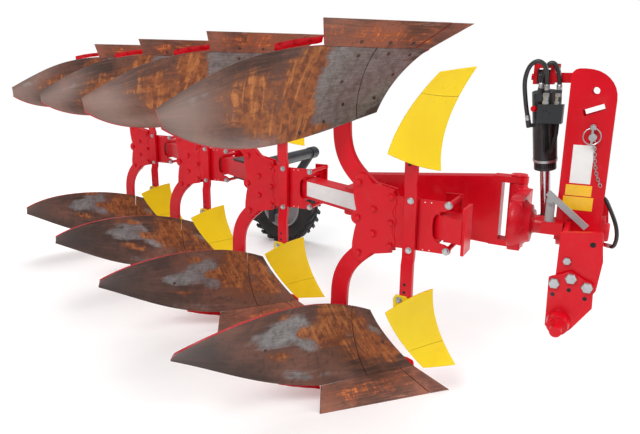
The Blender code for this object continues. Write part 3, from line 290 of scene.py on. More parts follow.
def plain(name, colour, rough, metallic=0.0, noise_scale=60.0, vary=0.25, bump=0.2, coat=0.0):
    """A finish of one tone with a noise that varies its colour and roughness a little."""
    made, nodes, shader = material(name, {"Coat Weight": coat, "Metallic": metallic})
    place = nodes.add("TexCoord").outputs["Object"]
    broad = nodes.noise(place, noise_scale * 0.2, 4.0)
    grain = nodes.noise(place, noise_scale, 5.0, 0.65)
    dark = tuple(c * (1.0 - vary) for c in colour)
    light = tuple(min(1.0, c * (1.0 + vary)) for c in colour)
    blend = nodes.math("ADD", nodes.math("MULTIPLY", broad, 0.6), nodes.math("MULTIPLY", grain, 0.4))
    tone = nodes.mix(nodes.span(blend, 0.36, 0.64), (*dark, 1.0), (*light, 1.0))
    nodes.tree.links.new(tone, shader.inputs["Base Color"])
    nodes.tree.links.new(nodes.span(grain, 0.3, 0.7, rough * 0.85, min(1.0, rough * 1.2)),
                         shader.inputs["Roughness"])
    bumped(nodes, shader, grain, bump, 0.0006)
    return made


RED = paint("red_paint", (0.66, 0.0015, 0.012), (0.57, 0.001, 0.009), dust=0.04)
CAST_RED = paint("red_casting", (0.66, 0.006, 0.020), (0.54, 0.004, 0.014), rough=0.34, grain=0.7, bump=0.5,
                 coat=0.2, dust=0.08)
EDGE_RED = paint("red_edge", (0.50, 0.030, 0.040), (0.36, 0.018, 0.022), chips=0.8, dust=0.25, rough=0.4)
YELLOW = paint("yellow_paint", (0.90, 0.66, 0.012), (0.84, 0.58, 0.008), dust=0.03, chips=0.7, rough=0.3)
ANTHRACITE = paint("anthracite_paint", (0.034, 0.036, 0.040), (0.024, 0.026, 0.029), dust=0.06, chips=0.2,
                   rough=0.36, coat=0.2)
BLACK_PAINT = paint("black_paint", (0.010, 0.010, 0.011), (0.007, 0.007, 0.008), dust=0.08, chips=0.2,
                    rough=0.4, coat=0.1)
GREY_PAINT = paint("grey_paint", (0.36, 0.37, 0.38), (0.28, 0.29, 0.30), dust=0.15, chips=0.4, rough=0.35)
BOARD_STEEL = steel("moldboard_steel")
SHARE_STEEL = steel("share_steel", tint=(1.75, 1.45, 1.30))
EDGE_STEEL = steel("edge_steel", rust=0.12, bare=0.10, tone=-0.5, tint=(0.8, 0.8, 0.8))
ZINC = plain("zinc_plate", (0.46, 0.47, 0.48), 0.34, 0.75, vary=0.18)
CHROME = plain("hard_chrome", (0.55, 0.57, 0.60), 0.22, 1.0, vary=0.05, bump=0.02)
HOSE = plain("hose_rubber", (0.012, 0.012, 0.013), 0.42, vary=0.3, coat=0.15)
TYRE = plain("tyre_rubber", (0.020, 0.020, 0.021), 0.72, vary=0.35, noise_scale=35.0, bump=0.5)
WHITE_FILM = plain("white_film", (0.80, 0.80, 0.79), 0.35, vary=0.04, bump=0.03, coat=0.3)
YELLOW_FILM = plain("yellow_film", (0.90, 0.52, 0.01), 0.35, vary=0.05, bump=0.03, coat=0.3)


# ---- shapes -------------------------------------------------------------------------------------
def merged(*shapes):
    """Several shapes as one."""
    points, faces, start = [], [], 0
    for some_points, some_faces in shapes:
        points.append(np.asarray(some_points, float))
        faces.extend([tuple(int(i) + start for i in face) for face in some_faces])
        start += len(some_points)
    return np.concatenate(points), faces


def shifted(shape, offset):
    """The shape moved by an offset."""
    return shape[0] + np.asarray(offset), shape[1]


def mirrored_up(shape):
    """The shape mirrored in the main beam's plane, with its faces turned back outwards."""
    points = shape[0] * np.array([1.0, 1.0, -1.0]) + np.array([0.0, 0.0, 2 * BEAM_HEIGHT])
    return points, [tuple(face[::-1]) for face in shape[1]]


def grid_faces(rows, columns, wrap=False):
    """Quads between the points of a grid; index is row * columns + column. wrap closes each row."""
    i = np.arange(rows - 1)[:, None]
    j = np.arange(columns if wrap else columns - 1)[None, :]
    after = (j + 1) % columns
    corners = np.stack(np.broadcast_arrays(i * columns + j, i * columns + after,
                                           (i + 1) * columns + after, (i + 1) * columns + j), axis=-1)
    return corners.reshape(-1, 4)


def loft(rings):
    """A closed body through rings of points, one ring per row, with flat ends."""
    rings = np.asarray(rings, float)
    count, around = rings.shape[:2]
    faces = [tuple(f) for f in grid_faces(count, around, wrap=True)]
    faces.append(tuple(range(around))[::-1])
    faces.append(tuple(range((count - 1) * around, count * around)))
    return rings.reshape(-1, 3), faces


def frame_of(axis):
    """Two unit vectors square to an axis, and the axis itself, right-handed."""
    axis = np.asarray(axis, float)
    axis = axis / np.linalg.norm(axis)
    helper = np.array([0.0, 0.0, 1.0]) if abs(axis[2]) < 0.9 else np.array([1.0, 0.0, 0.0])
    first = np.cross(helper, axis)
    first /= np.linalg.norm(first)
    return first, np.cross(axis, first), axis


def lathe(start, axis, profile, sides=32):
    """A turned body: each (distance along the axis, radius) of the profile becomes a ring."""
    first, second, axis = frame_of(axis)
    angle = np.linspace(0.0, 2 * pi, sides, endpoint=False)
    circle = np.cos(angle)[:, None] * first + np.sin(angle)[:, None] * second
    rings = [np.asarray(start) + axis * s + circle * r for s, r in profile]
    return loft(rings)


def rounded_rod(start, end, radius, sides=28, chamfer=0.002):
    """A round bar between two points, with chamfered ends."""
    start, end = np.asarray(start, float), np.asarray(end, float)
    length = np.linalg.norm(end - start)
    profile = [(0.0, radius - chamfer), (chamfer, radius), (length - chamfer, radius),
               (length, radius - chamfer)]
    return lathe(start, end - start, profile, sides)


def tube(path, radius, sides=12):
    """A round tube along a path: each ring is square to the path, carried on without twist."""
    path = np.asarray(path, float)
    radius = np.broadcast_to(radius, len(path))
    way = np.gradient(path, axis=0)
    way /= np.linalg.norm(way, axis=1, keepdims=True)
    first = frame_of(way[0])[0]
    angle = np.linspace(0.0, 2 * pi, sides, endpoint=False)
    rings = []
    for point, direction, size in zip(path, way, radius):
        first = first - direction * (first @ direction)
        first /= np.linalg.norm(first)
        second = np.cross(direction, first)
        rings.append(point + size * (np.cos(angle)[:, None] * first + np.sin(angle)[:, None] * second))
    return loft(rings)


def bezier(points, t):
    """A Bezier curve of any degree through its control points, for an array of parameters."""
    points = np.repeat(np.asarray(points, float)[None], len(t), axis=0)
    t = np.asarray(t, float)[:, None, None]
    while points.shape[1] > 1:
        points = points[:, :-1] * (1 - t) + points[:, 1:] * t
    return points[:, 0]


def smooth_path(points, count):
    """A Catmull-Rom curve through the points, with count points along it."""
    points = np.asarray(points, float)
    ends = np.vstack([2 * points[0] - points[1], points, 2 * points[-1] - points[-2]])
    s = np.linspace(0.0, len(points) - 1 - 1e-9, count)
    i = s.astype(int)
    f = (s - i)[:, None]
    a, b, c, d = ends[i], ends[i + 1], ends[i + 2], ends[i + 3]
    return 0.5 * (2 * b + (c - a) * f + (2 * a - 5 * b + 4 * c - d) * f ** 2
                  + (3 * b - a - 3 * c + d) * f ** 3)


def inset(outline, distance):
    """An outline moved inwards along the mean of its two edges' normals. The outline runs anticlockwise."""
    before = outline - np.roll(outline, 1, axis=0)
    after = np.roll(outline, -1, axis=0) - outline
    before /= np.linalg.norm(before, axis=1, keepdims=True) + 1e-12
    after /= np.linalg.norm(after, axis=1, keepdims=True) + 1e-12
    inner = lambda edge: np.stack([-edge[:, 1], edge[:, 0]], axis=1)
    normal = inner(before) + inner(after)
    normal /= np.linalg.norm(normal, axis=1, keepdims=True) + 1e-12
    reach = np.clip((normal * inner(after)).sum(axis=1, keepdims=True), 0.5, 1.0)
    return outline + normal * distance / reach


def slab(outline, side, thickness, chamfer=0.002, plane="xz"):
    """A flat plate: a 2-D outline, given a thickness about side, with chamfered edges.

    plane xz takes (x, z) points and thickness along Y; xy and yz work alike along Z and X."""
    outline = np.asarray(outline, float)
    after = np.roll(outline, -1, axis=0)
    if np.sum(outline[:, 0] * after[:, 1] - after[:, 0] * outline[:, 1]) < 0:
        outline = outline[::-1]
    small = inset(outline, chamfer)
    half = thickness / 2
    levels = [(small, -half), (outline, chamfer - half), (outline, half - chamfer), (small, half)]
    rings = []
    for ring, level in levels:
        across = np.full(len(ring), level + side)
        columns = {"xz": (ring[:, 0], -across, ring[:, 1]), "xy": (ring[:, 0], ring[:, 1], across),
                   "yz": (across, ring[:, 0], ring[:, 1])}[plane]
        rings.append(np.stack(columns, axis=1))
    if plane == "xz":
        for ring in rings:
            ring[:, 1] += 2 * side
    return loft(rings)


def arc(x, z, radius, start, end, steps=12):
    """Points along an arc about (x, z), between two angles in degrees."""
    angle = np.radians(np.linspace(start, end, steps + 1))
    return [(x + radius * cos(a), z + radius * sin(a)) for a in angle]


def block(low, high, chamfer=0.002):
    """A box between two corners, chamfered along the edges of its length in Y."""
    (x0, y0, z0), (x1, y1, z1) = low, high
    return slab([(x0, z0), (x1, z0), (x1, z1), (x0, z1)], (y0 + y1) / 2, y1 - y0, chamfer)


def bolt(at, axis, across=0.024, height=0.010, washer=True):
    """A hexagon head with a chamfered top, on a washer. It stands on at and points along axis."""
    radius = across / 2 / cos(pi / 6)
    base = 0.0025 if washer else 0.0
    head = lathe(at, axis, [(base - 0.002, radius), (base + height * 0.8, radius),
                            (base + height, radius * 0.86)], 6)
    if not washer:
        return head
    ring = lathe(at, axis, [(-0.001, across * 0.72), (base * 0.8, across * 0.72), (base, across * 0.68)], 20)
    return merged(head, ring)


def shell(front, thickness):
    """A closed plate behind a grid of points on its working face, and how many faces are in front.

    Index runs along the plate first and up it second. The back follows the face's own normals."""
    columns, rows = front.shape[:2]
    normal = np.cross(np.gradient(front, axis=1), np.gradient(front, axis=0))
    normal /= np.linalg.norm(normal, axis=2, keepdims=True)
    back = front - normal * thickness
    count = columns * rows
    face = grid_faces(columns, rows)
    index = np.arange(count).reshape(columns, rows)
    rim = np.concatenate([index[:, 0], index[-1, 1:], index[-2::-1, -1], index[0, -2:0:-1]])
    after = np.roll(rim, -1)
    edge = np.stack([rim, after, after + count, rim + count], axis=1)
    faces = [tuple(f) for f in face] + [tuple(f[::-1]) for f in face + count] + [tuple(f) for f in edge]
    return (np.concatenate([front.reshape(-1, 3), back.reshape(-1, 3)]), faces), len(face)


# ---- making a piece -----------------------------------------------------------------------------
PIECES = bpy.data.collections.new("plough_pieces")
bpy.context.scene.collection.children.link(PIECES)


def piece(name, shape, looks, body, stands_for=(), smooth=35.0, bevel=0.0, material_index=None, zones=None,
          recalc=False):
    """Puts a shape into the scene as a finished piece that rides on a body of the frame.

    looks is a material or several, with material_index per face; zones are point attributes by name."""
    mesh = bpy.data.meshes.new(name)
    mesh.from_pydata((shape[0] + SET_OUT).tolist(), [], [list(f) for f in shape[1]])
    for look in looks if isinstance(looks, (list, tuple)) else [looks]:
        mesh.materials.append(look)
    if material_index is not None:
        mesh.polygons.foreach_set("material_index", np.asarray(material_index, np.int32))
    for label, values in (zones or {}).items():
        flat = np.asarray(values, np.float32)
        kind, field = ("FLOAT_VECTOR", "vector") if flat.ndim == 2 else ("FLOAT", "value")
        mesh.attributes.new(label, kind, "POINT").data.foreach_set(field, flat.ravel())
    if recalc:
        shell_mesh = bmesh.new()
        shell_mesh.from_mesh(mesh)
        bmesh.ops.recalc_face_normals(shell_mesh, faces=shell_mesh.faces)
        shell_mesh.to_mesh(mesh)
        shell_mesh.free()
    mesh.shade_smooth()
    mesh.set_sharp_from_angle(angle=radians(smooth))
    mesh.validate()
    made = bpy.data.objects.new(name, mesh)
    PIECES.objects.link(made)
    if bevel:
        rounding = made.modifiers.new("edges", "BEVEL")
        rounding.width = bevel
        rounding.segments = 2
        rounding.limit_method = "ANGLE"
        rounding.angle_limit = radians(smooth)
        rounding.harden_normals = True
    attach(made, body)
    if stands_for:
        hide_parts(*stands_for)
    return made


def rounded_copy(node, look, body, width=0.003, cast=0.0):
    """A CAD node's own shape with rounded edges. cast above 0 remeshes it at that size, as a casting."""
    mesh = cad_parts[node].data.copy()
    shape = bmesh.new()
    shape.from_mesh(mesh)
    bmesh.ops.remove_doubles(shape, verts=shape.verts, dist=1e-5)
    if not cast:
        bmesh.ops.dissolve_limit(shape, angle_limit=radians(0.5), verts=shape.verts, edges=shape.edges)
    shape.to_mesh(mesh)
    shape.free()
    mesh.materials.clear()
    mesh.materials.append(look)
    mesh.shade_smooth()
    made = bpy.data.objects.new(node + "_finished", mesh)
    PIECES.objects.link(made)
    if cast:
        voxels = made.modifiers.new("cast", "REMESH")
        voxels.mode = "VOXEL"
        voxels.voxel_size = cast
        voxels.use_smooth_shade = True
        soften = made.modifiers.new("soften", "SMOOTH")
        soften.factor = 0.5
        soften.iterations = 6
    else:
        mesh.set_sharp_from_angle(angle=radians(35.0))
        rounding = made.modifiers.new("edges", "BEVEL")
        rounding.width = width
        rounding.segments = 2
        rounding.limit_method = "ANGLE"
        rounding.angle_limit = radians(38.0)
    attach(made, body)
    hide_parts(node)
    return made


# ---- the ploughing bodies -----------------------------------------------------------------------
# Control points of the plates' edges, from the point or the shin back to the wing.
SHARE_EDGE = [(0.0, 0.0, 0.0), (-0.237, -0.25, 0.0), (-0.475, -0.50, 0.0)]
SEAM = [(-0.185, -0.035, 0.105), (-0.335, -0.222, 0.110), (-0.505, -0.430, 0.105)]
LOWER_EDGE = [(-0.505, -0.430, 0.105), (-0.740, -0.600, 0.115), (-0.880, -0.680, 0.200),
              (-0.970, -0.935, 0.350)]
TOP_EDGE = [(-0.398, -0.105, 0.385), (-0.600, -0.240, 0.480), (-0.650, -0.520, 0.510),
            (-0.680, -0.880, 0.565), (-0.905, -0.975, 0.415)]
SHARE_END = 0.46             # how far along the board the share's seam reaches
HOLLOW = np.array([-0.055, 0.045, -0.022])
BOARD_LENGTH = 1.2           # about how long and how high a board is, for the flow over it
BOARD_RISE = 0.42
BOARD_THICKNESS = 0.009
SHARE_THICKNESS = 0.012
POINT_SHARE = 0.155          # how much of the share its bolted point takes
PLATE_SEAM = 0.0014          # half the gap between shin and board, as a part of the board's length
FACE_LOOK, BACK_LOOK, CUT_LOOK = 0, 1, 2


def board_surface(u, v):
    """The mouldboard's working face: quadratic sections from the lower line up to the top edge.

    The lower line is the seam with the share up to SHARE_END of the length and the free lower edge
    behind it; each section's middle control point falls back by HOLLOW, less towards the wing."""
    flat = u.ravel()
    seam = bezier(SEAM, np.clip(flat / SHARE_END, 0.0, 1.0))
    free = bezier(LOWER_EDGE, np.clip((flat - SHARE_END) / (1.0 - SHARE_END), 0.0, 1.0))
    low = np.where((flat < SHARE_END)[:, None], seam, free).reshape(*u.shape, 3)
    high = bezier(TOP_EDGE, flat).reshape(*u.shape, 3)
    middle = (low + high) / 2 + HOLLOW * (1.25 - 0.9 * u[..., None])
    v = v[..., None]
    return low * (1 - v) ** 2 + 2 * middle * v * (1 - v) + high * v ** 2


def share_surface(u, v):
    """The share's face, ruled from the cutting edge to just below the seam."""
    low = bezier(SHARE_EDGE, u.ravel()).reshape(*u.shape, 3)
    high = bezier(SEAM, u.ravel()).reshape(*u.shape, 3)
    reach = high - low
    high = high - reach * (0.0012 / np.linalg.norm(reach, axis=-1, keepdims=True))
    return low + (high - low) * v[..., None]


def lattice(columns, rows, start=0.0, end=1.0):
    """Parameters of a grid. start and end may follow v: each is a number or a function of it."""
    v = np.linspace(0.0, 1.0, rows)[None, :]
    first = start(v) if callable(start) else start
    last = end(v) if callable(end) else end
    s = np.linspace(0.0, 1.0, columns)[:, None]
    return [grid.copy() for grid in np.broadcast_arrays(first + (last - first) * s, v)]


def shin_seam(v):
    """Where the shin piece ends along the board: a curved line that leans back towards its foot."""
    return 0.245 - 0.145 * v ** 1.4


def blobs(u, v, spots):
    """A soft mask: the sum of round spots (u, v, size along, size up, strength), held between 0 and 1."""
    total = np.zeros_like(u)
    for at_u, at_v, wide, tall, strength in spots:
        total = total + strength * np.exp(-((u - at_u) / wide) ** 2 - ((v - at_v) / tall) ** 2)
    return np.clip(total, -1.0, 1.2)


# Where rust, bare metal, painted shade and painted highlight lie, each spot as (u, v, size along, size up,
# strength).
# On the lower boards rust hangs below the top edge near the shin, with a bare band behind it and painted shade
# darkening the wing; on the upper boards the front half is bare, then comes a rusty boundary, and a painted
# highlight pales the wing to its tip.
RUST_SPOTS = {
    "lower": [(0.20, 0.80, 0.13, 0.26, 0.95), (0.07, 0.36, 0.08, 0.26, 0.70), (0.33, 0.55, 0.10, 0.16, 0.62),
              (0.57, 0.40, 0.08, 0.10, 0.62), (0.50, 0.92, 0.10, 0.08, 0.60), (0.22, 0.26, 0.16, 0.18, 0.48),
              (0.44, 0.66, 0.05, 0.08, 0.55)],
    "upper": [(0.47, 0.35, 0.06, 0.45, 0.92), (0.44, 0.80, 0.07, 0.20, 0.85), (0.66, 0.45, 0.16, 0.35, 0.62),
              (0.33, 0.95, 0.12, 0.07, 0.60), (0.60, 0.80, 0.12, 0.16, 0.50)],
    "share": [(0.60, 0.50, 0.60, 0.50, 0.42), (0.20, 0.80, 0.16, 0.30, 0.15)],
}
BARE_SPOTS = {
    "lower": [(0.47, 0.80, 0.09, 0.20, 0.85), (0.60, 0.64, 0.12, 0.16, 0.66), (0.42, 0.50, 0.05, 0.10, 0.72),
              (0.21, 0.60, 0.035, 0.09, 1.10), (0.05, 0.62, 0.04, 0.12, 0.9), (0.52, 0.14, 0.16, 0.12, 0.45)],
    "upper": [(0.20, 0.50, 0.24, 0.70, 1.00), (0.34, 0.24, 0.10, 0.26, 0.85), (0.88, 0.30, 0.10, 0.14, 0.45)],
    "share": [(0.50, 0.0, 0.80, 0.30, 0.30)],
}
# Painted shade below 0 and painted highlight above 0: darker lower wings and feet, pale upper wing tips, a pale
# spot on the share's wing.
LIGHT_AND_SHADE_SPOTS = {
    "lower": [(0.92, 0.50, 0.20, 0.70, -0.80), (0.72, 0.05, 0.20, 0.24, -0.42)],
    "upper": [(0.93, 0.55, 0.15, 0.60, 0.80), (0.72, 0.98, 0.20, 0.10, 0.45), (0.12, 0.9, 0.3, 0.3, -0.25)],
    "share": [(0.95, 0.20, 0.25, 0.50, 0.22)],
}


def body_shift(number):
    """How far a body stands from the front one."""
    return BODY_STEP * (number - 1)


def above_ground(shape, level=0.0):
    """The shape with whatever reaches below a level brought up to it, as a plate's back is ground flat."""
    return np.maximum(shape[0], (-np.inf, -np.inf, level)), shape[1]


def placed(shape, row, number):
    """A lower front body's shape carried to its own row and place."""
    shape = mirrored_up(shape) if row == "upper" else shape
    return shifted(shape, body_shift(number))


def zone_values(row, number, u, v):
    """The finish masks, the painted light and shade mask, and the flow for both sides of a plate.

    Each body's spots drift a little from the next's, along a sine across the plate."""
    u, v = (values.ravel() for values in np.broadcast_arrays(u, v))
    along = u + (number > 1) * 0.035 * np.sin(2.3 * number + 4.0 * v)
    up = v + (number > 1) * 0.07 * np.cos(1.7 * number + 5.0 * u)
    masks = {"rust_zone": RUST_SPOTS, "bare_zone": BARE_SPOTS, "tone_zone": LIGHT_AND_SHADE_SPOTS}
    zones = {label: np.tile(blobs(along, up, spots[row]), 2) for label, spots in masks.items()}
    apart = 3.0 if row == "upper" else 0.0
    flow = np.stack([u * BOARD_LENGTH + 2.7 * number, v * BOARD_RISE + apart, np.zeros_like(u)], axis=1)
    zones["flow"] = np.tile(flow, (2, 1))
    return zones


def plate_piece(name, row, number, surface, u, v, thickness, looks, stands_for=(), proud=0.0, finish=None,
                cut_ends=False):
    """A curved plate over part of a working surface. looks holds its face's, its back's and its cut edges'.

    The shell's rim runs along the foot, up the far end, back along the top and down the near end. The foot
    and the near end are cut edges, and cut_ends makes the whole rim one."""
    front = surface(u, v)
    if proud:
        normal = np.cross(np.gradient(front, axis=1), np.gradient(front, axis=0))
        front = front + proud * normal / np.linalg.norm(normal, axis=2, keepdims=True)
    shape, faces_in_front = shell(front, thickness)
    shape = above_ground(shape)
    zones = zone_values(finish or row, number, u, v)
    columns, rows = front.shape[:2]
    rim = 2 * faces_in_front
    index = np.full(len(shape[1]), BACK_LOOK)
    index[:faces_in_front] = FACE_LOOK
    index[rim:rim + columns - 1] = CUT_LOOK
    index[rim + 2 * columns + rows - 3:] = CUT_LOOK
    if cut_ends:
        index[rim:] = CUT_LOOK
    return piece(name, placed(shape, row, number), looks, "plough_frame", stands_for, zones=zones,
                 material_index=index, bevel=0.0012)


def on_surface(surface, u, v):
    """A point of a working surface and its outward normal."""
    step = 1e-3
    at = lambda a, b: surface(np.array([[a]]), np.array([[b]]))[0, 0]
    normal = np.cross(at(u, v + step) - at(u, v - step), at(u + step, v) - at(u - step, v))
    return at(u, v), normal / np.linalg.norm(normal)


def plough_bolt(surface, u, v, radius=0.009):
    """A countersunk bolt head, flush with the plate in its own small ring, with a square drive."""
    point, normal = on_surface(surface, u, v)
    head = lathe(point, normal, [(-0.004, radius), (0.0006, radius), (0.0012, radius * 0.9)], 14)
    drive = lathe(point, normal, [(0.0, radius * 0.42), (0.0019, radius * 0.40)], 4)
    return merged(head, drive)


BOARD_BOLTS = {
    "lower": [(0.62, 0.50), (0.045, 0.42)],
    "upper": [(0.06, 0.10), (0.17, 0.08), (0.30, 0.10), (0.30, 0.42), (0.23, 0.72), (0.045, 0.42),
              (0.06, 0.75), (0.30, 0.88), (0.42, 0.93)],
}
SHARE_BOLTS = {
    "lower": [(0.045, 0.35)],
    "upper": [(0.045, 0.35), (0.10, 0.62), (0.24, 0.80), (0.45, 0.80), (0.70, 0.80)],
}


def build_moldboards():
    """Each mouldboard as its shin piece and its board, with their bolts."""
    looks = [BOARD_STEEL, EDGE_RED, EDGE_STEEL]
    for row in ("lower", "upper"):
        bolts = merged(*[plough_bolt(board_surface, *spot) for spot in BOARD_BOLTS[row]])
        for number in range(1, BODIES + 1):
            tag = f"{row}_{number}"
            u, v = lattice(20, 36, 0.0, lambda v: shin_seam(v) - PLATE_SEAM)
            plate_piece("shin_" + tag, row, number, board_surface, u, v, BOARD_THICKNESS, looks,
                        cut_ends=True)
            u, v = lattice(90, 36, lambda v: shin_seam(v) + PLATE_SEAM, 1.0)
            plate_piece("board_" + tag, row, number, board_surface, u, v, BOARD_THICKNESS, looks,
                        ["moldboard_" + tag])
            piece("board_bolts_" + tag, placed(bolts, row, number), EDGE_STEEL, "plough_frame")


def build_shares():
    """Each share as its blade and its bolted point, which stands a little proud, with their bolts."""
    for row in ("lower", "upper"):
        looks = [SHARE_STEEL, EDGE_RED if row == "upper" else EDGE_STEEL, EDGE_STEEL]
        bolts = merged(*[plough_bolt(share_surface, *spot) for spot in SHARE_BOLTS[row]])
        for number in range(1, BODIES + 1):
            tag = f"{row}_{number}"
            u, v = lattice(30, 8, POINT_SHARE + 0.004, 1.0)
            plate_piece("share_blade_" + tag, row, number, share_surface, u, v, SHARE_THICKNESS, looks,
                        ["share_" + tag], finish="share")
            u, v = lattice(8, 8, 0.0, POINT_SHARE)
            plate_piece("share_point_" + tag, row, number, share_surface, u, v, SHARE_THICKNESS, looks,
                        finish="share", proud=0.0015)
            piece("share_bolts_" + tag, placed(bolts, row, number), EDGE_STEEL, "plough_frame")


# ---- legs and frogs -----------------------------------------------------------------------------
LEG_SIDE = -0.145
LEG_THICKNESS = 0.030
LEG_DEPTH = 0.088
LEG_FOOT = (-0.560, 0.200)
LEG_BEND = (-0.552, 0.470)
LEG_HEAD = (-0.330, 0.800)
FROG_THICKNESS = 0.014
PLATE_GAP = 0.0008           # between a plate's back and the frog


def leg_shape():
    """The leg bar: an even width carried along its centre line, with a square head in the clamp."""
    sweep = [LEG_BEND, (LEG_BEND[0] + 0.004, 0.640), (-0.455, 0.690), (LEG_HEAD[0], LEG_HEAD[1] - 0.010)]
    curve = bezier(sweep, np.linspace(0.0, 1.0, 28))
    line = np.vstack([np.linspace(LEG_FOOT, LEG_BEND, 6)[:-1], curve])
    way = np.gradient(line, axis=0)
    way /= np.linalg.norm(way, axis=1, keepdims=True)
    across = np.stack([-way[:, 1], way[:, 0]], axis=1) * LEG_DEPTH / 2
    top = BEAM_HEIGHT - 0.004
    head = np.array([(-0.345, top), (-0.300, top), (-0.300, top - 0.100)])
    outline = np.vstack([line + across, head, (line - across)[::-1]])
    return slab(outline, LEG_SIDE, LEG_THICKNESS, 0.004)


def fine_block(low, high, step=0.018):
    """A closed box between two corners whose faces are gridded, so that it can be bent to fit."""
    low, high = np.asarray(low, float), np.asarray(high, float)
    counts = np.maximum(1, np.round((high - low) / step).astype(int))
    points, faces = [], []
    for axis in range(3):
        first, second = (axis + 1) % 3, (axis + 2) % 3
        for end in (0, 1):
            a, b = np.meshgrid(np.arange(counts[first] + 1), np.arange(counts[second] + 1), indexing="ij")
            grid = np.zeros((*a.shape, 3))
            grid[..., first], grid[..., second], grid[..., axis] = a, b, end * counts[axis]
            made = grid_faces(*a.shape) + sum(len(p) for p in points)
            points.append(grid.reshape(-1, 3))
            faces.append(made if end == 0 else made[:, ::-1])
    points, index = np.unique(np.concatenate(points), axis=0, return_inverse=True)
    return low + points * (high - low) / counts, [tuple(f) for f in index.ravel()[np.concatenate(faces)]]


def held_behind(shape, surface, depth):
    """Moves what reaches in front of a working surface back to depth behind it."""
    points, faces = shape
    u, v = np.meshgrid(np.linspace(0.0, 1.0, 70), np.linspace(0.0, 1.0, 26), indexing="ij")
    front = surface(u, v)
    normal = np.cross(np.gradient(front, axis=1), np.gradient(front, axis=0))
    normal = (normal / np.linalg.norm(normal, axis=2, keepdims=True)).reshape(-1, 3)
    front = front.reshape(-1, 3)
    nearest = np.argmin(((points[:, None] - front[None]) ** 2).sum(axis=2), axis=1)
    ahead = ((points - front[nearest]) * normal[nearest]).sum(axis=1) + depth
    return points - normal[nearest] * np.maximum(ahead, 0.0)[:, None], faces


def frog_shape():
    """What carries the plates: a backing under each, a web and post to the leg, the landside and a stay."""
    u, v = lattice(24, 10, 0.0, 0.62)
    behind = shell(board_surface(u, v * 0.72), FROG_THICKNESS)[0]
    behind = held_behind(behind, board_surface, BOARD_THICKNESS + PLATE_GAP)
    u, v = lattice(16, 4, 0.02, 0.98)
    share = shell(share_surface(u, v * 0.8 + 0.15), FROG_THICKNESS)[0]
    share = held_behind(share, share_surface, SHARE_THICKNESS + PLATE_GAP)
    u, v = lattice(14, 4, 0.455, 0.60)
    strip = board_surface(u, np.zeros_like(v)) - np.array([0.004, -0.006, 0.028]) * (1 - v[..., None])
    strip = held_behind(shell(strip, 0.010)[0], board_surface, BOARD_THICKNESS + 0.045)
    parts = [fine_block((-0.590, -0.175, 0.070), (-0.240, -0.006, 0.105)),
             fine_block((-0.604, -0.165, 0.075), (-0.516, -0.125, 0.230)),
             fine_block((-0.560, -0.170, 0.240), (-0.400, -0.110, 0.300))]
    parts = [held_behind(held_behind(part, board_surface, 0.018), share_surface, 0.020) for part in parts]
    landside = held_behind(fine_block((-0.660, -0.013, 0.0), (-0.190, -0.001, 0.125)), share_surface, 0.020)
    stay = rounded_rod((-0.560, -0.140, 0.340), (-0.784, -0.588, 0.330), 0.015, 16)
    stay = held_behind(stay, board_surface, 0.010)
    return above_ground(merged(behind, share, strip, landside, stay, *parts), 0.001)


def build_legs():
    """The leg bars, with their frogs behind the plates."""
    leg, frog = leg_shape(), frog_shape()
    for row in ("lower", "upper"):
        for number in range(1, BODIES + 1):
            tag = f"{row}_{number}"
            piece("leg_bar_" + tag, placed(leg, row, number), RED, "plough_frame", ["leg_" + tag])
            piece("frog_" + tag, placed(frog, row, number), RED, "plough_frame")


# ---- skimmers -----------------------------------------------------------------------------------
SKIMMER_TOP = [(-0.075, -0.135, 0.572), (-0.145, -0.215, 0.560), (-0.232, -0.335, 0.495)]
SKIMMER_MIDDLE = [(-0.085, -0.115, 0.395), (-0.130, -0.190, 0.390), (-0.195, -0.285, 0.350)]
SKIMMER_EDGE = [(0.040, -0.070, 0.182), (-0.010, -0.135, 0.190), (-0.075, -0.215, 0.205)]
SKIMMER_THICKNESS = 0.008
SKIMMER_SEAM = 0.30
SKIMMER_REACH = {"lower": 1.0, "upper": 1.16}
STALK_AT = -0.182
STALK_WIDTH = 0.058
STALK_HALF = 0.014           # half its thickness
STALK_JOG = 0.011            # how far its foot is set out from its head
CLAMP_FACE = -0.1768
STALK_SIDE = CLAMP_FACE - SEAT_GAP - STALK_HALF


def skimmer_surface(u, v):
    """The skimmer's face: quadratic sections between its cutting edge, middle and top curves."""
    low, middle, high = (bezier(c, u.ravel()).reshape(*u.shape, 3)
                         for c in (SKIMMER_EDGE, SKIMMER_MIDDLE, SKIMMER_TOP))
    v = v[..., None]
    return low * (1 - v) ** 2 + 2 * middle * v * (1 - v) + high * v ** 2


def skimmer_plates(reach):
    """The blade below its seam and the board above it. reach above 1 carries the board past its top curve."""
    made = []
    for low, high in ((0.0, SKIMMER_SEAM - 0.0016), (SKIMMER_SEAM + 0.0016, reach)):
        u, v = lattice(20, 26)
        made.append(shell(skimmer_surface(u, low + (high - low) * v), SKIMMER_THICKNESS)[0])
    return merged(*made)


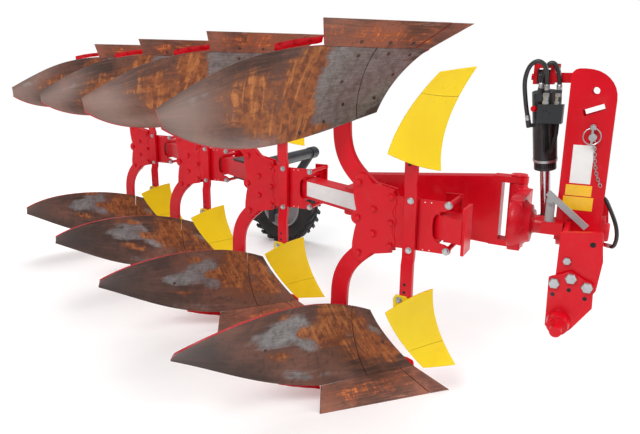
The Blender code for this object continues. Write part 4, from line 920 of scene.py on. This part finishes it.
def build_skimmers():
    """The skimmers: blade and board with the joint between them, on a jogged stalk with a bracket."""
    u, v = lattice(20, 3)
    joint = shell(skimmer_surface(u, SKIMMER_SEAM - 0.01 + 0.02 * v), 0.003)[0]
    joint = held_behind(joint, skimmer_surface, 0.003)
    bolts = merged(*[plough_bolt(skimmer_surface, u, v, 0.008)
                     for u, v in ((0.30, 0.36), (0.60, 0.36), (0.30, 0.20), (0.60, 0.20))])
    upper_y, lower_y, half = STALK_SIDE, STALK_SIDE - STALK_JOG, STALK_HALF
    stalk = slab([(upper_y + half, BEAM_HEIGHT), (upper_y - half, BEAM_HEIGHT), (upper_y - half, 0.726),
                  (lower_y - half, 0.694), (lower_y - half, 0.400), (lower_y + half, 0.400),
                  (lower_y + half, 0.700), (upper_y + half, 0.732)],
                 STALK_AT - 0.002, STALK_WIDTH, 0.002, "yz")
    # Two black discs on the stalk paint the shade inside its holes.
    holes = merged(*[lathe((STALK_AT - 0.008, lower_y - STALK_HALF, z), RIGHT,
                           [(-0.002, 0.0072), (0.0007, 0.0072)], 16) for z in (0.562, 0.600)])
    bracket = slab([(STALK_AT - 0.050, 0.425), (STALK_AT + 0.010, 0.425), (STALK_AT + 0.020, 0.520),
                    (STALK_AT + 0.008, 0.545), (STALK_AT - 0.046, 0.548), (STALK_AT - 0.058, 0.525)],
                   lower_y - 0.0190, 0.009, 0.002)
    fixing = bolt((STALK_AT - 0.028, lower_y - 0.0235, 0.524), RIGHT, 0.021, 0.010)
    for row in ("lower", "upper"):
        plates = skimmer_plates(SKIMMER_REACH[row])
        for number in range(1, BODIES + 1):
            tag = f"{row}_{number}"
            piece("skimmer_board_" + tag, placed(plates, row, number), YELLOW, "plough_frame",
                  ["skimmer_" + tag], bevel=0.0015)
            for name, shape, look in (("joint", joint, EDGE_STEEL), ("bolts", bolts, YELLOW),
                                      ("stalk", stalk, RED), ("holes", holes, BLACK_PAINT),
                                      ("bracket", bracket, YELLOW), ("fixing", fixing, ZINC)):
                piece(f"skimmer_{name}_{tag}", placed(shape, row, number), look, "plough_frame")


# ---- leg clamps ---------------------------------------------------------------------------------
CHEEK_THICKNESS = 0.014
PLATE_HALF_HEIGHT = 0.122
CLAMP_OUTER = LEG_SIDE - LEG_THICKNESS / 2 - SEAT_GAP
CLAMP_INNER = LEG_SIDE + LEG_THICKNESS / 2 + SEAT_GAP
FRONT_BOLTS = (-0.018, (0.774, 0.986))       # their place along the travel, and their heights
STALK_BOLTS = (0.764, 0.996)
CHEEK_BOLTS = [(-0.370, 0.931), (-0.451, 0.880), (-0.283, 0.873), (-0.370, 0.812), (-0.283, 0.762),
               (-0.447, 1.052), (-0.283, 0.998), (-0.443, 0.708)]


def mirrored_outline(lower_half):
    """A closed outline from its lower half, mirrored in the beam's plane. The half starts and ends on it."""
    upper_half = [(x, 2 * BEAM_HEIGHT - z) for x, z in lower_half[1:-1]]
    return lower_half + upper_half[::-1]


def cheek_outline():
    """The wavy cheek: scallops down its front edge, a nose behind and a foot each way."""
    z = BEAM_HEIGHT
    waves = [(-0.2650 + 0.0095 * cos(2 * pi * dz / 0.095), z - dz) for dz in np.linspace(0.138, 0.0, 24)]
    return mirrored_outline([
        *arc(-0.452, z, 0.036, 180, 255, 8), (-0.470, z - 0.070), (-0.478, z - 0.120),
        *arc(-0.436, z - 0.170, 0.045, 170, 300, 10), (-0.380, z - 0.172), (-0.300, z - 0.156),
        (-0.272, z - 0.150), *waves,
    ])


def notched_outline():
    """The clamp's front plate, with a C-shaped notch for the beam and rounded corners about its bolts."""
    z = BEAM_HEIGHT
    low = z - 0.124
    return mirrored_outline([
        (-0.286, z), (-0.286, low + 0.002), (-0.030, low + 0.004),
        *arc(-0.018, low + 0.020, 0.020, 280, 430, 8),
        (-0.014, z - 0.082), (-0.030, z - 0.076), *arc(-0.030, z - 0.020, 0.056, 265, 195, 8), (-0.086, z),
    ])


def build_clamps():
    """Two wavy cheeks about the legs, a notched plate and shelves about the beam, and all their bolts."""
    cheek = slab(cheek_outline(), CLAMP_OUTER - CHEEK_THICKNESS / 2, CHEEK_THICKNESS, 0.003)
    back = slab(cheek_outline(), CLAMP_INNER + CHEEK_THICKNESS / 2, CHEEK_THICKNESS, 0.003)
    front = slab(notched_outline(), CLAMP_FACE + 0.0115, 0.011, 0.002)
    low, high = BEAM_HEIGHT - PLATE_HALF_HEIGHT, BEAM_HEIGHT + PLATE_HALF_HEIGHT
    web = block((-0.296, CLAMP_OUTER - 0.012, low + 0.002), (-0.262, CLAMP_INNER + 0.012, high - 0.002))
    rear = slab([(-0.085, low), (-0.004, low), (-0.004, high), (-0.085, high)], 0.030, 0.014, 0.002)
    shelf = block((-0.280, CLAMP_OUTER - 0.006, BEAM_HEIGHT + BEAM_HALF + 0.0006),
                  (-0.055, 0.033, BEAM_HEIGHT + BEAM_HALF + 0.019), 0.002)
    cheek_face = CLAMP_OUTER - CHEEK_THICKNESS
    heads = merged(*[bolt((x, cheek_face, z), RIGHT, 0.026, 0.010) for x, z in CHEEK_BOLTS])
    along, heights = FRONT_BOLTS
    bright = [bolt((STALK_AT, STALK_SIDE - STALK_HALF, z), RIGHT, 0.021, 0.009) for z in STALK_BOLTS]
    bright += [bolt((along, CLAMP_FACE + 0.004, z), RIGHT, 0.024, 0.010) for z in heights]
    shanks = [rounded_rod((along, CLAMP_FACE + 0.010, z), (along, 0.050, z), 0.011, 16) for z in heights]
    small = merged(*[lathe((x, CLAMP_FACE + 0.004, z), RIGHT, [(-0.001, 0.0028), (0.0004, 0.0028)], 12)
                     for x, z in ((-0.125, 0.768), (-0.095, 0.768), (-0.125, 0.990), (-0.095, 0.990))])
    whole = merged(cheek, back, front, web, rear, shelf, mirrored_up(shelf), *shanks)
    for number in range(1, BODIES + 1):
        offset = body_shift(number)
        piece(f"clamp_plates_{number}", shifted(whole, offset), RED, "plough_frame", [f"leg_clamp_{number}"])
        piece(f"clamp_painted_bolts_{number}", shifted(heads, offset), RED, "plough_frame")
        piece(f"clamp_bright_bolts_{number}", shifted(merged(*bright), offset), ZINC, "plough_frame")
        piece(f"clamp_marks_{number}", shifted(small, offset), WHITE_FILM, "plough_frame")


# ---- beam, arm and yoke -------------------------------------------------------------------------
BEAM_SIDE = -0.129           # its axis, to the side of the front share point
BEAM_SLOPE = -BODY_STEP[1] / BODY_STEP[0]
BLANK_PLATE = (-0.985, -0.525, 0.842, 0.928)     # rear, front, bottom and top


def beam_plate(x0, x1, z0, z1, proud):
    """A thin blank plate on the beam's right face, between two places along the travel."""
    face = lambda x: BEAM_SIDE - x * BEAM_SLOPE - BEAM_HALF / cos(np.arctan(BEAM_SLOPE))
    corners = [(x0, z0), (x1, z0), (x1, z1), (x0, z1)]
    out = np.array([(x, face(x) - proud, z) for x, z in corners])
    inner = np.array([(x, face(x) + 0.002, z) for x, z in corners])
    return loft([out, inner])


def build_beam():
    """The square beam and the front arm, the turnover yoke as a casting with its bell, and the kingpin."""
    rounded_copy("main_beam", RED, "plough_frame", 0.006)
    rounded_copy("front_arm", RED, "plough_frame", 0.004)
    rounded_copy("kingpin", CAST_RED, "plough_frame", 0.003)
    rounded_copy("swing_yoke", CAST_RED, "plough_frame", cast=0.005)
    bell = [(0.0, 0.122), (0.012, 0.128), (0.032, 0.127), (0.050, 0.118), (0.064, 0.104), (0.074, 0.092),
            (0.092, 0.086)]
    piece("yoke_bell", lathe((0.205, AXIS_SIDE, BEAM_HEIGHT), (1, 0, 0), bell, 64), CAST_RED, "plough_frame")
    piece("beam_blank_plate", beam_plate(*BLANK_PLATE, 0.0015), WHITE_FILM, "plough_frame", recalc=True)


# ---- headstock ----------------------------------------------------------------------------------
TOWER_FACE = AXIS_SIDE - 0.072 - 0.009       # the right faces of its tower plate, hitch plate and link plate
HITCH_FACE = AXIS_SIDE - 0.33 - 0.010
LINK_FACE = HITCH_FACE - SEAT_GAP - 0.018
LINK_BOLTS = [(0.448, 0.733), (0.508, 0.762), (0.569, 0.735)]
LINK_HOLES = [(0.505, 0.712), (0.566, 0.686), (0.447, 0.684)]
LYNCH_PIN_AT = np.array([0.511, TOWER_FACE - 0.022, 0.0])


def wire_loop(line, outward, across, wire, sides):
    """A closed wire: a small circle, in the plane of outward and across, carried round a line of points."""
    turn = np.linspace(0.0, 2 * pi, sides, endpoint=False)[None, :, None]
    points = line[:, None] + wire * (np.cos(turn) * outward[:, None] + np.sin(turn) * across)
    count = len(line)
    faces = grid_faces(count + 1, sides, wrap=True) % (count * sides)
    return points.reshape(-1, 3), [tuple(f[::-1]) for f in faces]


def chain(points, link=0.020, wire=0.0016):
    """Links along a path, each a stretched ring, every second one turned a quarter about the path."""
    line = smooth_path(points, 200)
    length = np.concatenate([[0.0], np.cumsum(np.linalg.norm(np.diff(line, axis=0), axis=1))])
    angle = np.linspace(0.0, 2 * pi, 16, endpoint=False)
    shapes = []
    for index, s in enumerate(np.arange(link / 2, length[-1] - link / 2, link * 0.66)):
        at = np.array([np.interp(s, length, line[:, i]) for i in range(3)])
        ahead = np.array([np.interp(s + 0.004, length, line[:, i]) for i in range(3)])
        first, second, way = frame_of(ahead - at)
        side = first if index % 2 else second
        outward = np.outer(np.cos(angle) * link / 2, way) + np.outer(np.sin(angle) * link * 0.29, side)
        stretched = at + outward
        outward /= np.linalg.norm(outward, axis=1, keepdims=True)
        shapes.append(wire_loop(stretched, outward, np.cross(way, side), wire, 6))
    return merged(*shapes)


def ring(centre, axis, radius, wire, around=28, sides=8):
    """A closed wire ring about an axis."""
    first, second, axis = frame_of(axis)
    angle = np.linspace(0.0, 2 * pi, around, endpoint=False)
    out = np.cos(angle)[:, None] * first + np.sin(angle)[:, None] * second
    return wire_loop(np.asarray(centre) + radius * out, out, axis, wire, sides)


def film(corners, side, proud=0.0008):
    """A thin blank label on a plate's right face."""
    (x0, z0), (x1, z1) = corners
    return slab([(x0, z0), (x1, z0), (x1, z1), (x0, z1)], side - proud / 2 + 0.0004, proud + 0.0008, 0.0003)


def spots_on(face, places, radius, sides=20):
    """Thin round discs on a plate's right face, at (x, z) places."""
    return [lathe((x, face, z), RIGHT, [(-0.001, radius), (0.0006, radius)], sides) for x, z in places]


def build_headstock():
    """The headstock with its pins and spindle, bolts, black discs painting the shade in its holes, blank
    plates, and the lynch pin's chain.
    """
    for node, look, width in (("headstock", RED, 0.004), ("lower_link_pin_right", RED, 0.003),
                              ("lower_link_pin_left", RED, 0.003), ("top_link_pin", ZINC, 0.002),
                              ("tilt_spindle", GREY_PAINT, 0.003)):
        rounded_copy(node, look, "headstock_body", width)
    for name, corners, look in (("tower_blank_plate", ((0.443, 1.098), (0.525, 1.262)), WHITE_FILM),
                                ("tower_blank_label_1", ((0.431, 1.0445), (0.534, 1.091)), YELLOW_FILM),
                                ("tower_blank_label_2", ((0.425, 0.982), (0.544, 1.040)), YELLOW_FILM)):
        piece(name, film(corners, TOWER_FACE), look, "headstock_body")
    hitch = [bolt((0.485, HITCH_FACE, 0.826), RIGHT, 0.028, 0.012, False)]
    hitch += [bolt((x, LINK_FACE, z), RIGHT, 0.039, 0.016, False) for x, z in LINK_BOLTS]
    left = [(points * (1.0, -1.0, 1.0) + (0.0, 2 * AXIS_SIDE, 0.0), [f[::-1] for f in faces])
            for points, faces in hitch]
    piece("hitch_bolts", merged(*hitch, *left), ZINC, "headstock_body")
    # Black discs on the link and hitch plates paint the shade inside their holes.
    hole_shade_discs = spots_on(LINK_FACE, LINK_HOLES, 0.0085) + spots_on(HITCH_FACE, [(0.571, 0.905)], 0.011)
    piece("hitch_holes", merged(*hole_shade_discs), BLACK_PAINT, "headstock_body")
    up = lambda height: LYNCH_PIN_AT + (0.0, 0.0, height)
    lynch = merged(rounded_rod(up(1.268), up(1.352), 0.0055, 14, 0.001),
                   lathe(up(1.330), UP, [(0.0, 0.0125), (0.016, 0.0125), (0.020, 0.008)], 18),
                   ring(up(1.302), (0.1, -1, 0.05), 0.034, 0.0025))
    piece("lynch_pin", lynch, ZINC, "headstock_body")
    near = TOWER_FACE - 0.004
    hanging = [(0.520, TOWER_FACE - 0.020, 1.285), (0.527, TOWER_FACE - 0.006, 1.240), (0.535, near, 1.185),
               (0.548, near, 1.135), (0.572, near, 1.080)]
    piece("lynch_chain", chain(hanging), ZINC, "headstock_body")


# ---- hydraulics ---------------------------------------------------------------------------------
HOSE_LEFT = [(0.240, 0.110, 1.352), (0.226, 0.092, 1.430), (0.219, 0.062, 1.520), (0.236, 0.046, 1.582),
             (0.268, 0.042, 1.603), (0.298, 0.044, 1.584), (0.309, 0.050, 1.540), (0.313, 0.056, 1.486)]
HOSE_RIGHT = [(0.361, 0.066, 1.486), (0.357, 0.066, 1.535), (0.343, 0.066, 1.580), (0.322, 0.066, 1.597),
              (0.302, 0.066, 1.582), (0.291, 0.066, 1.540), (0.286, 0.067, 1.492)]
HOUSING_HOSE = [(0.555, 0.120, 0.990), (0.562, 0.108, 1.022), (0.586, 0.086, 1.034), (0.612, 0.070, 0.996),
                (0.642, 0.062, 0.930), (0.652, 0.064, 0.875), (0.644, 0.082, 0.830), (0.620, 0.108, 0.8235)]
CYLINDER_PIN = np.array([0.290, 0.12, 1.538])
ROD_PIN = np.array([0.345, 0.235, 0.88])
DOWN = (ROD_PIN - CYLINDER_PIN) / np.linalg.norm(ROD_PIN - CYLINDER_PIN)
BARREL_START = 0.062         # along the cylinder, from its upper pin
BARREL_END = 0.380
BARREL_RADIUS = 0.052
ROD_RADIUS = 0.0225
HOSE_RADIUS = 0.0095


def hose_piece(name, points, radius, body, node):
    """A hose with crimped ferrules at both ends, on the same line as the frame's."""
    line = smooth_path(points, 60)
    ends = []
    for at, way in ((line[0], line[1] - line[0]), (line[-1], line[-2] - line[-1])):
        ends.append(lathe(at, way, [(-0.0002, radius * 1.12), (0.0, radius * 1.2), (0.020, radius * 1.2),
                                    (0.022, radius * 1.05)], 16))
    piece(name, tube(line, radius, 14), HOSE, body, [node])
    piece(name + "_ferrules", merged(*ends), ZINC, body)


def turned(name, look, body, profile):
    """A turned piece about the cylinder's line, from (distance from the upper pin, radius) points."""
    piece(name, lathe(CYLINDER_PIN, DOWN, profile, 48), look, body)


def build_hydraulics():
    """The turnover cylinder with its valve block and pipes, the rod with its eye, and the three hoses."""
    base, end = BARREL_START, BARREL_END
    turned("barrel_tube", ANTHRACITE, "cylinder", [
        (base, 0.046), (base + 0.004, BARREL_RADIUS), (base + 0.030, BARREL_RADIUS), (base + 0.031, 0.0495),
        (end - 0.016, 0.0495), (end - 0.015, 0.0505), (end - 0.012, 0.0505)])
    turned("barrel_ring", ZINC, "cylinder", [
        (end - 0.014, 0.0495), (end - 0.013, 0.0540), (end - 0.002, 0.0540), (end - 0.001, 0.0495)])
    turned("gland_nut", BLACK_PAINT, "cylinder", [
        (end - 0.001, 0.045), (end, 0.0488), (end + 0.024, 0.0488), (end + 0.026, 0.046),
        (end + 0.034, 0.046), (end + 0.036, 0.043)])
    rounded_copy("cylinder_barrel", ANTHRACITE, "cylinder", 0.002)
    rounded_copy("valve_block", ANTHRACITE, "cylinder", 0.002)
    shank = rounded_rod(CYLINDER_PIN + DOWN * 0.325, ROD_PIN - DOWN * 0.022, ROD_RADIUS, 40, 0.001)
    piece("chrome_rod", shank, CHROME, "cylinder_rod_body", ["cylinder_rod"])
    half, pin = np.array([0.020, 0.0, 0.0]), np.array([0.038, 0.0, 0.0])
    eye = merged(rounded_rod(ROD_PIN - half, ROD_PIN + half, 0.030, 40, 0.003),
                 rounded_rod(ROD_PIN - DOWN * 0.033, ROD_PIN - DOWN * 0.020, ROD_RADIUS + 0.001, 32, 0.002),
                 rounded_rod(ROD_PIN, ROD_PIN - pin, 0.0195, 32, 0.002))
    piece("rod_eye", eye, BLACK_PAINT, "cylinder_rod_body")
    hose_piece("hose_left", HOSE_LEFT, HOSE_RADIUS, "cylinder", "cylinder_hose_left")
    hose_piece("hose_right", HOSE_RIGHT, HOSE_RADIUS, "cylinder", "cylinder_hose_right")
    hose_piece("hose_housing", HOUSING_HOSE, 0.0085, "headstock_body", "housing_hose")
    fittings = []
    nut = [(0.0, 0.0145), (0.012, 0.0145), (0.013, 0.0125)]
    coupling = [(0.0, 0.0118), (0.018, 0.0118), (0.019, 0.0140), (0.034, 0.0140), (0.036, 0.0125)]
    for x, y in ((0.3125, 0.0565), (0.3605, 0.066)):
        fittings += [lathe((x, y, 1.4245), UP, nut, 6), lathe((x, y, 1.437), UP, coupling, 6)]
    piece("hose_fittings", merged(*fittings), ZINC, "cylinder")
    # Three small black discs paint the shade inside the valve block's ports.
    port_shade = [lathe((x, 0.040, z), RIGHT, [(-0.001, 0.0034), (0.0005, 0.0034)], 12)
             for x, z in ((0.310, 1.398), (0.322, 1.398), (0.336, 1.388))]
    piece("valve_block_holes", merged(*port_shade), BLACK_PAINT, "cylinder")
    cap = lathe((0.270, 0.088, 1.402), (-0.35, -0.9, 0.1), [(0.0, 0.013), (0.020, 0.013), (0.024, 0.010)], 20)
    piece("dust_cap", cap, RED, "cylinder")
    runs = [[(x, 0.068, 1.350), (x + 0.004, 0.076, 1.300), (x + 0.010, 0.090, 1.250), (x + 0.012, 0.110, 1.215)]
            for x in (0.312, 0.336)]
    runs.append([(0.368, 0.060, 1.350), (0.366, 0.062, 1.290), (0.352, 0.085, 1.235), (0.330, 0.112, 1.192)])
    pipes = [tube(smooth_path(run, 24), radius, 12) for run, radius in zip(runs, (0.0075, 0.0075, 0.0085))]
    piece("valve_pipes", merged(*pipes), BLACK_PAINT, "cylinder")


# ---- depth wheel --------------------------------------------------------------------------------
WHEEL_AT = np.array([-2.10, 1.90, 0.335])
WHEEL_RADIUS = 0.335
TYRE_WIDTH = 0.200
LUGS = 26                    # on each shoulder
NUTS = 5
NUT_CIRCLE = 0.078


def wheel_ring(profile, sides=72):
    """A closed ring about the wheel's axle: its profile as (radius, side) points, all the way round."""
    profile = np.asarray(profile, float)
    angle = np.linspace(0.0, 2 * pi, sides, endpoint=False)
    out = np.stack([np.cos(angle), np.zeros(sides), np.sin(angle)], axis=1)
    points = WHEEL_AT + profile[None, :, :1] * out[:, None] + profile[None, :, 1:] * np.array([0.0, 1.0, 0.0])
    count = len(profile)
    faces = grid_faces(sides + 1, count, wrap=True) % (sides * count)
    return points.reshape(-1, 3), [tuple(f) for f in faces]


def tyre_profile():
    """The tyre's section: an even round crown between two shoulders, and side walls down to the bead."""
    half = TYRE_WIDTH / 2 - 0.006
    crown = [(0.322 - 0.010 * (s / 0.072) ** 2, s) for s in np.linspace(-0.072, 0.072, 9)]
    side = [(0.300, half * 0.93), (0.272, half), (0.240, half * 0.97), (0.212, half * 0.84),
            (0.1915, half * 0.74)]
    left = [(r, -s) for r, s in side][::-1]
    return left + crown + side


def tyre_lugs():
    """Slanted lugs, half of them on each shoulder, set alternately round the tyre."""
    shapes = []
    for index in range(LUGS):
        for side in (-1, 1):
            angle = 2 * pi * (index + (0.5 if side > 0 else 0.0)) / LUGS
            rows = []
            for s, lean in ((0.006, 0.050), (0.045, 0.020), (0.078, -0.004), (0.0925, -0.012)):
                top = WHEEL_RADIUS - 0.0005 - 0.06 * max(0.0, s - 0.060)
                bottom = WHEEL_RADIUS - 0.017 - 0.32 * max(0.0, s - 0.060)
                corners = []
                for radius, offset in ((bottom, -0.020), (top, -0.015), (top, 0.015), (bottom, 0.020)):
                    turn = angle + (lean + offset) / radius
                    corners.append(WHEEL_AT + np.array([radius * cos(turn), side * s, radius * sin(turn)]))
                rows.append(corners)
            shape = loft(rows)
            shapes.append(shape if side > 0 else (shape[0], [f[::-1] for f in shape[1]]))
    return merged(*shapes)


def build_wheel():
    """The tyre with its tread, the rim with its nuts on both sides, and the arm and carrier that hold it."""
    piece("tyre_carcass", wheel_ring(tyre_profile()), TYRE, "wheel", ["wheel_tyre"], smooth=50.0, recalc=True)
    piece("tyre_tread", tyre_lugs(), TYRE, "wheel", smooth=30.0, recalc=True)
    rounded_copy("wheel_rim", GREY_PAINT, "wheel", 0.003)
    nuts = []
    for side in (-1, 1):
        for turn in np.linspace(0.0, 2 * pi, NUTS, endpoint=False):
            at = WHEEL_AT + (NUT_CIRCLE * cos(turn), side * 0.011, NUT_CIRCLE * sin(turn))
            nuts.append(bolt(at, (0, side, 0), 0.022, 0.012))
    piece("wheel_nuts", merged(*nuts), ZINC, "wheel")
    rounded_copy("wheel_arm", ANTHRACITE, "wheel_arm_body", 0.003)
    rounded_copy("wheel_carrier", ANTHRACITE, "plough_frame", 0.004)


# ---- floor and lamps ----------------------------------------------------------------------------
def build_studio():
    """A pale floor that glows to white away from the plough, a soft sky and three square lamps."""
    mesh = bpy.data.meshes.new("studio_floor")
    x, y = np.meshgrid(np.linspace(-30.0, 30.0, 2), np.linspace(-30.0, 30.0, 2), indexing="ij")
    points = np.stack([x, y, np.full_like(x, -0.0005)], axis=-1).reshape(-1, 3)
    mesh.from_pydata(points.tolist(), [], [(0, 2, 3, 1)])
    floor_look, nodes, shader = material("studio_floor", {"Roughness": 0.9, "Specular IOR Level": 0.1,
                                                          "Emission Color": (1.0, 1.0, 1.0, 1.0)})
    place = nodes.add("TexCoord").outputs["Object"]
    away = nodes.add("VectorMath", {0: place}, operation="LENGTH").outputs["Value"]
    glow = nodes.span(away, 2.6, 6.5)
    cloud = nodes.span(nodes.noise(place, 3.0), 0.3, 0.7)
    pale = nodes.mix(cloud, (0.86, 0.86, 0.86, 1.0), (0.88, 0.88, 0.88, 1.0))
    nodes.tree.links.new(nodes.mix(glow, pale, (0.0, 0.0, 0.0, 1.0)), shader.inputs["Base Color"])
    nodes.tree.links.new(nodes.span(away, 2.0, 6.5, 0.16, 1.0), shader.inputs["Emission Strength"])
    mesh.materials.append(floor_look)
    floor = bpy.data.objects.new("studio_floor", mesh)
    bpy.context.scene.collection.objects.link(floor)
    world = bpy.data.worlds.new("studio")
    world.use_nodes = True
    nodes = Nodes(world.node_tree)
    back = world.node_tree.nodes["Background"]
    height = nodes.add("SeparateXYZ", {"Vector": nodes.add("TexCoord").outputs["Generated"]}).outputs["Z"]
    sky = nodes.mix(nodes.span(height, 0.0, 0.75), (0.10, 0.10, 0.11, 1.0), (0.66, 0.66, 0.66, 1.0))
    seen = nodes.add("LightPath").outputs["Is Camera Ray"]
    world.node_tree.links.new(nodes.mix(seen, sky, (1.0, 1.0, 1.0, 1.0)), back.inputs["Color"])
    bpy.context.scene.world = world
    lamps = (("key", (0.5, -6.0, 6.5), 3.0, 300.0), ("rim", (-5.0, 3.5, 6.0), 4.0, 260.0),
             ("side", (6.5, 0.5, 3.2), 2.2, 150.0))
    for name, place, size, power in lamps:
        light = bpy.data.lights.new(name, "AREA")
        light.shape = "SQUARE"
        light.size = size
        light.energy = power
        lamp = bpy.data.objects.new(name, light)
        lamp.location = place
        lamp.rotation_euler = (Vector((0.6, -0.3, 0.8)) - Vector(place)).to_track_quat("-Z", "Y").to_euler()
        bpy.context.scene.collection.objects.link(lamp)


build_moldboards()
build_shares()
build_legs()
build_skimmers()
build_clamps()
build_beam()
build_headstock()
build_hydraulics()
build_wheel()
build_studio()
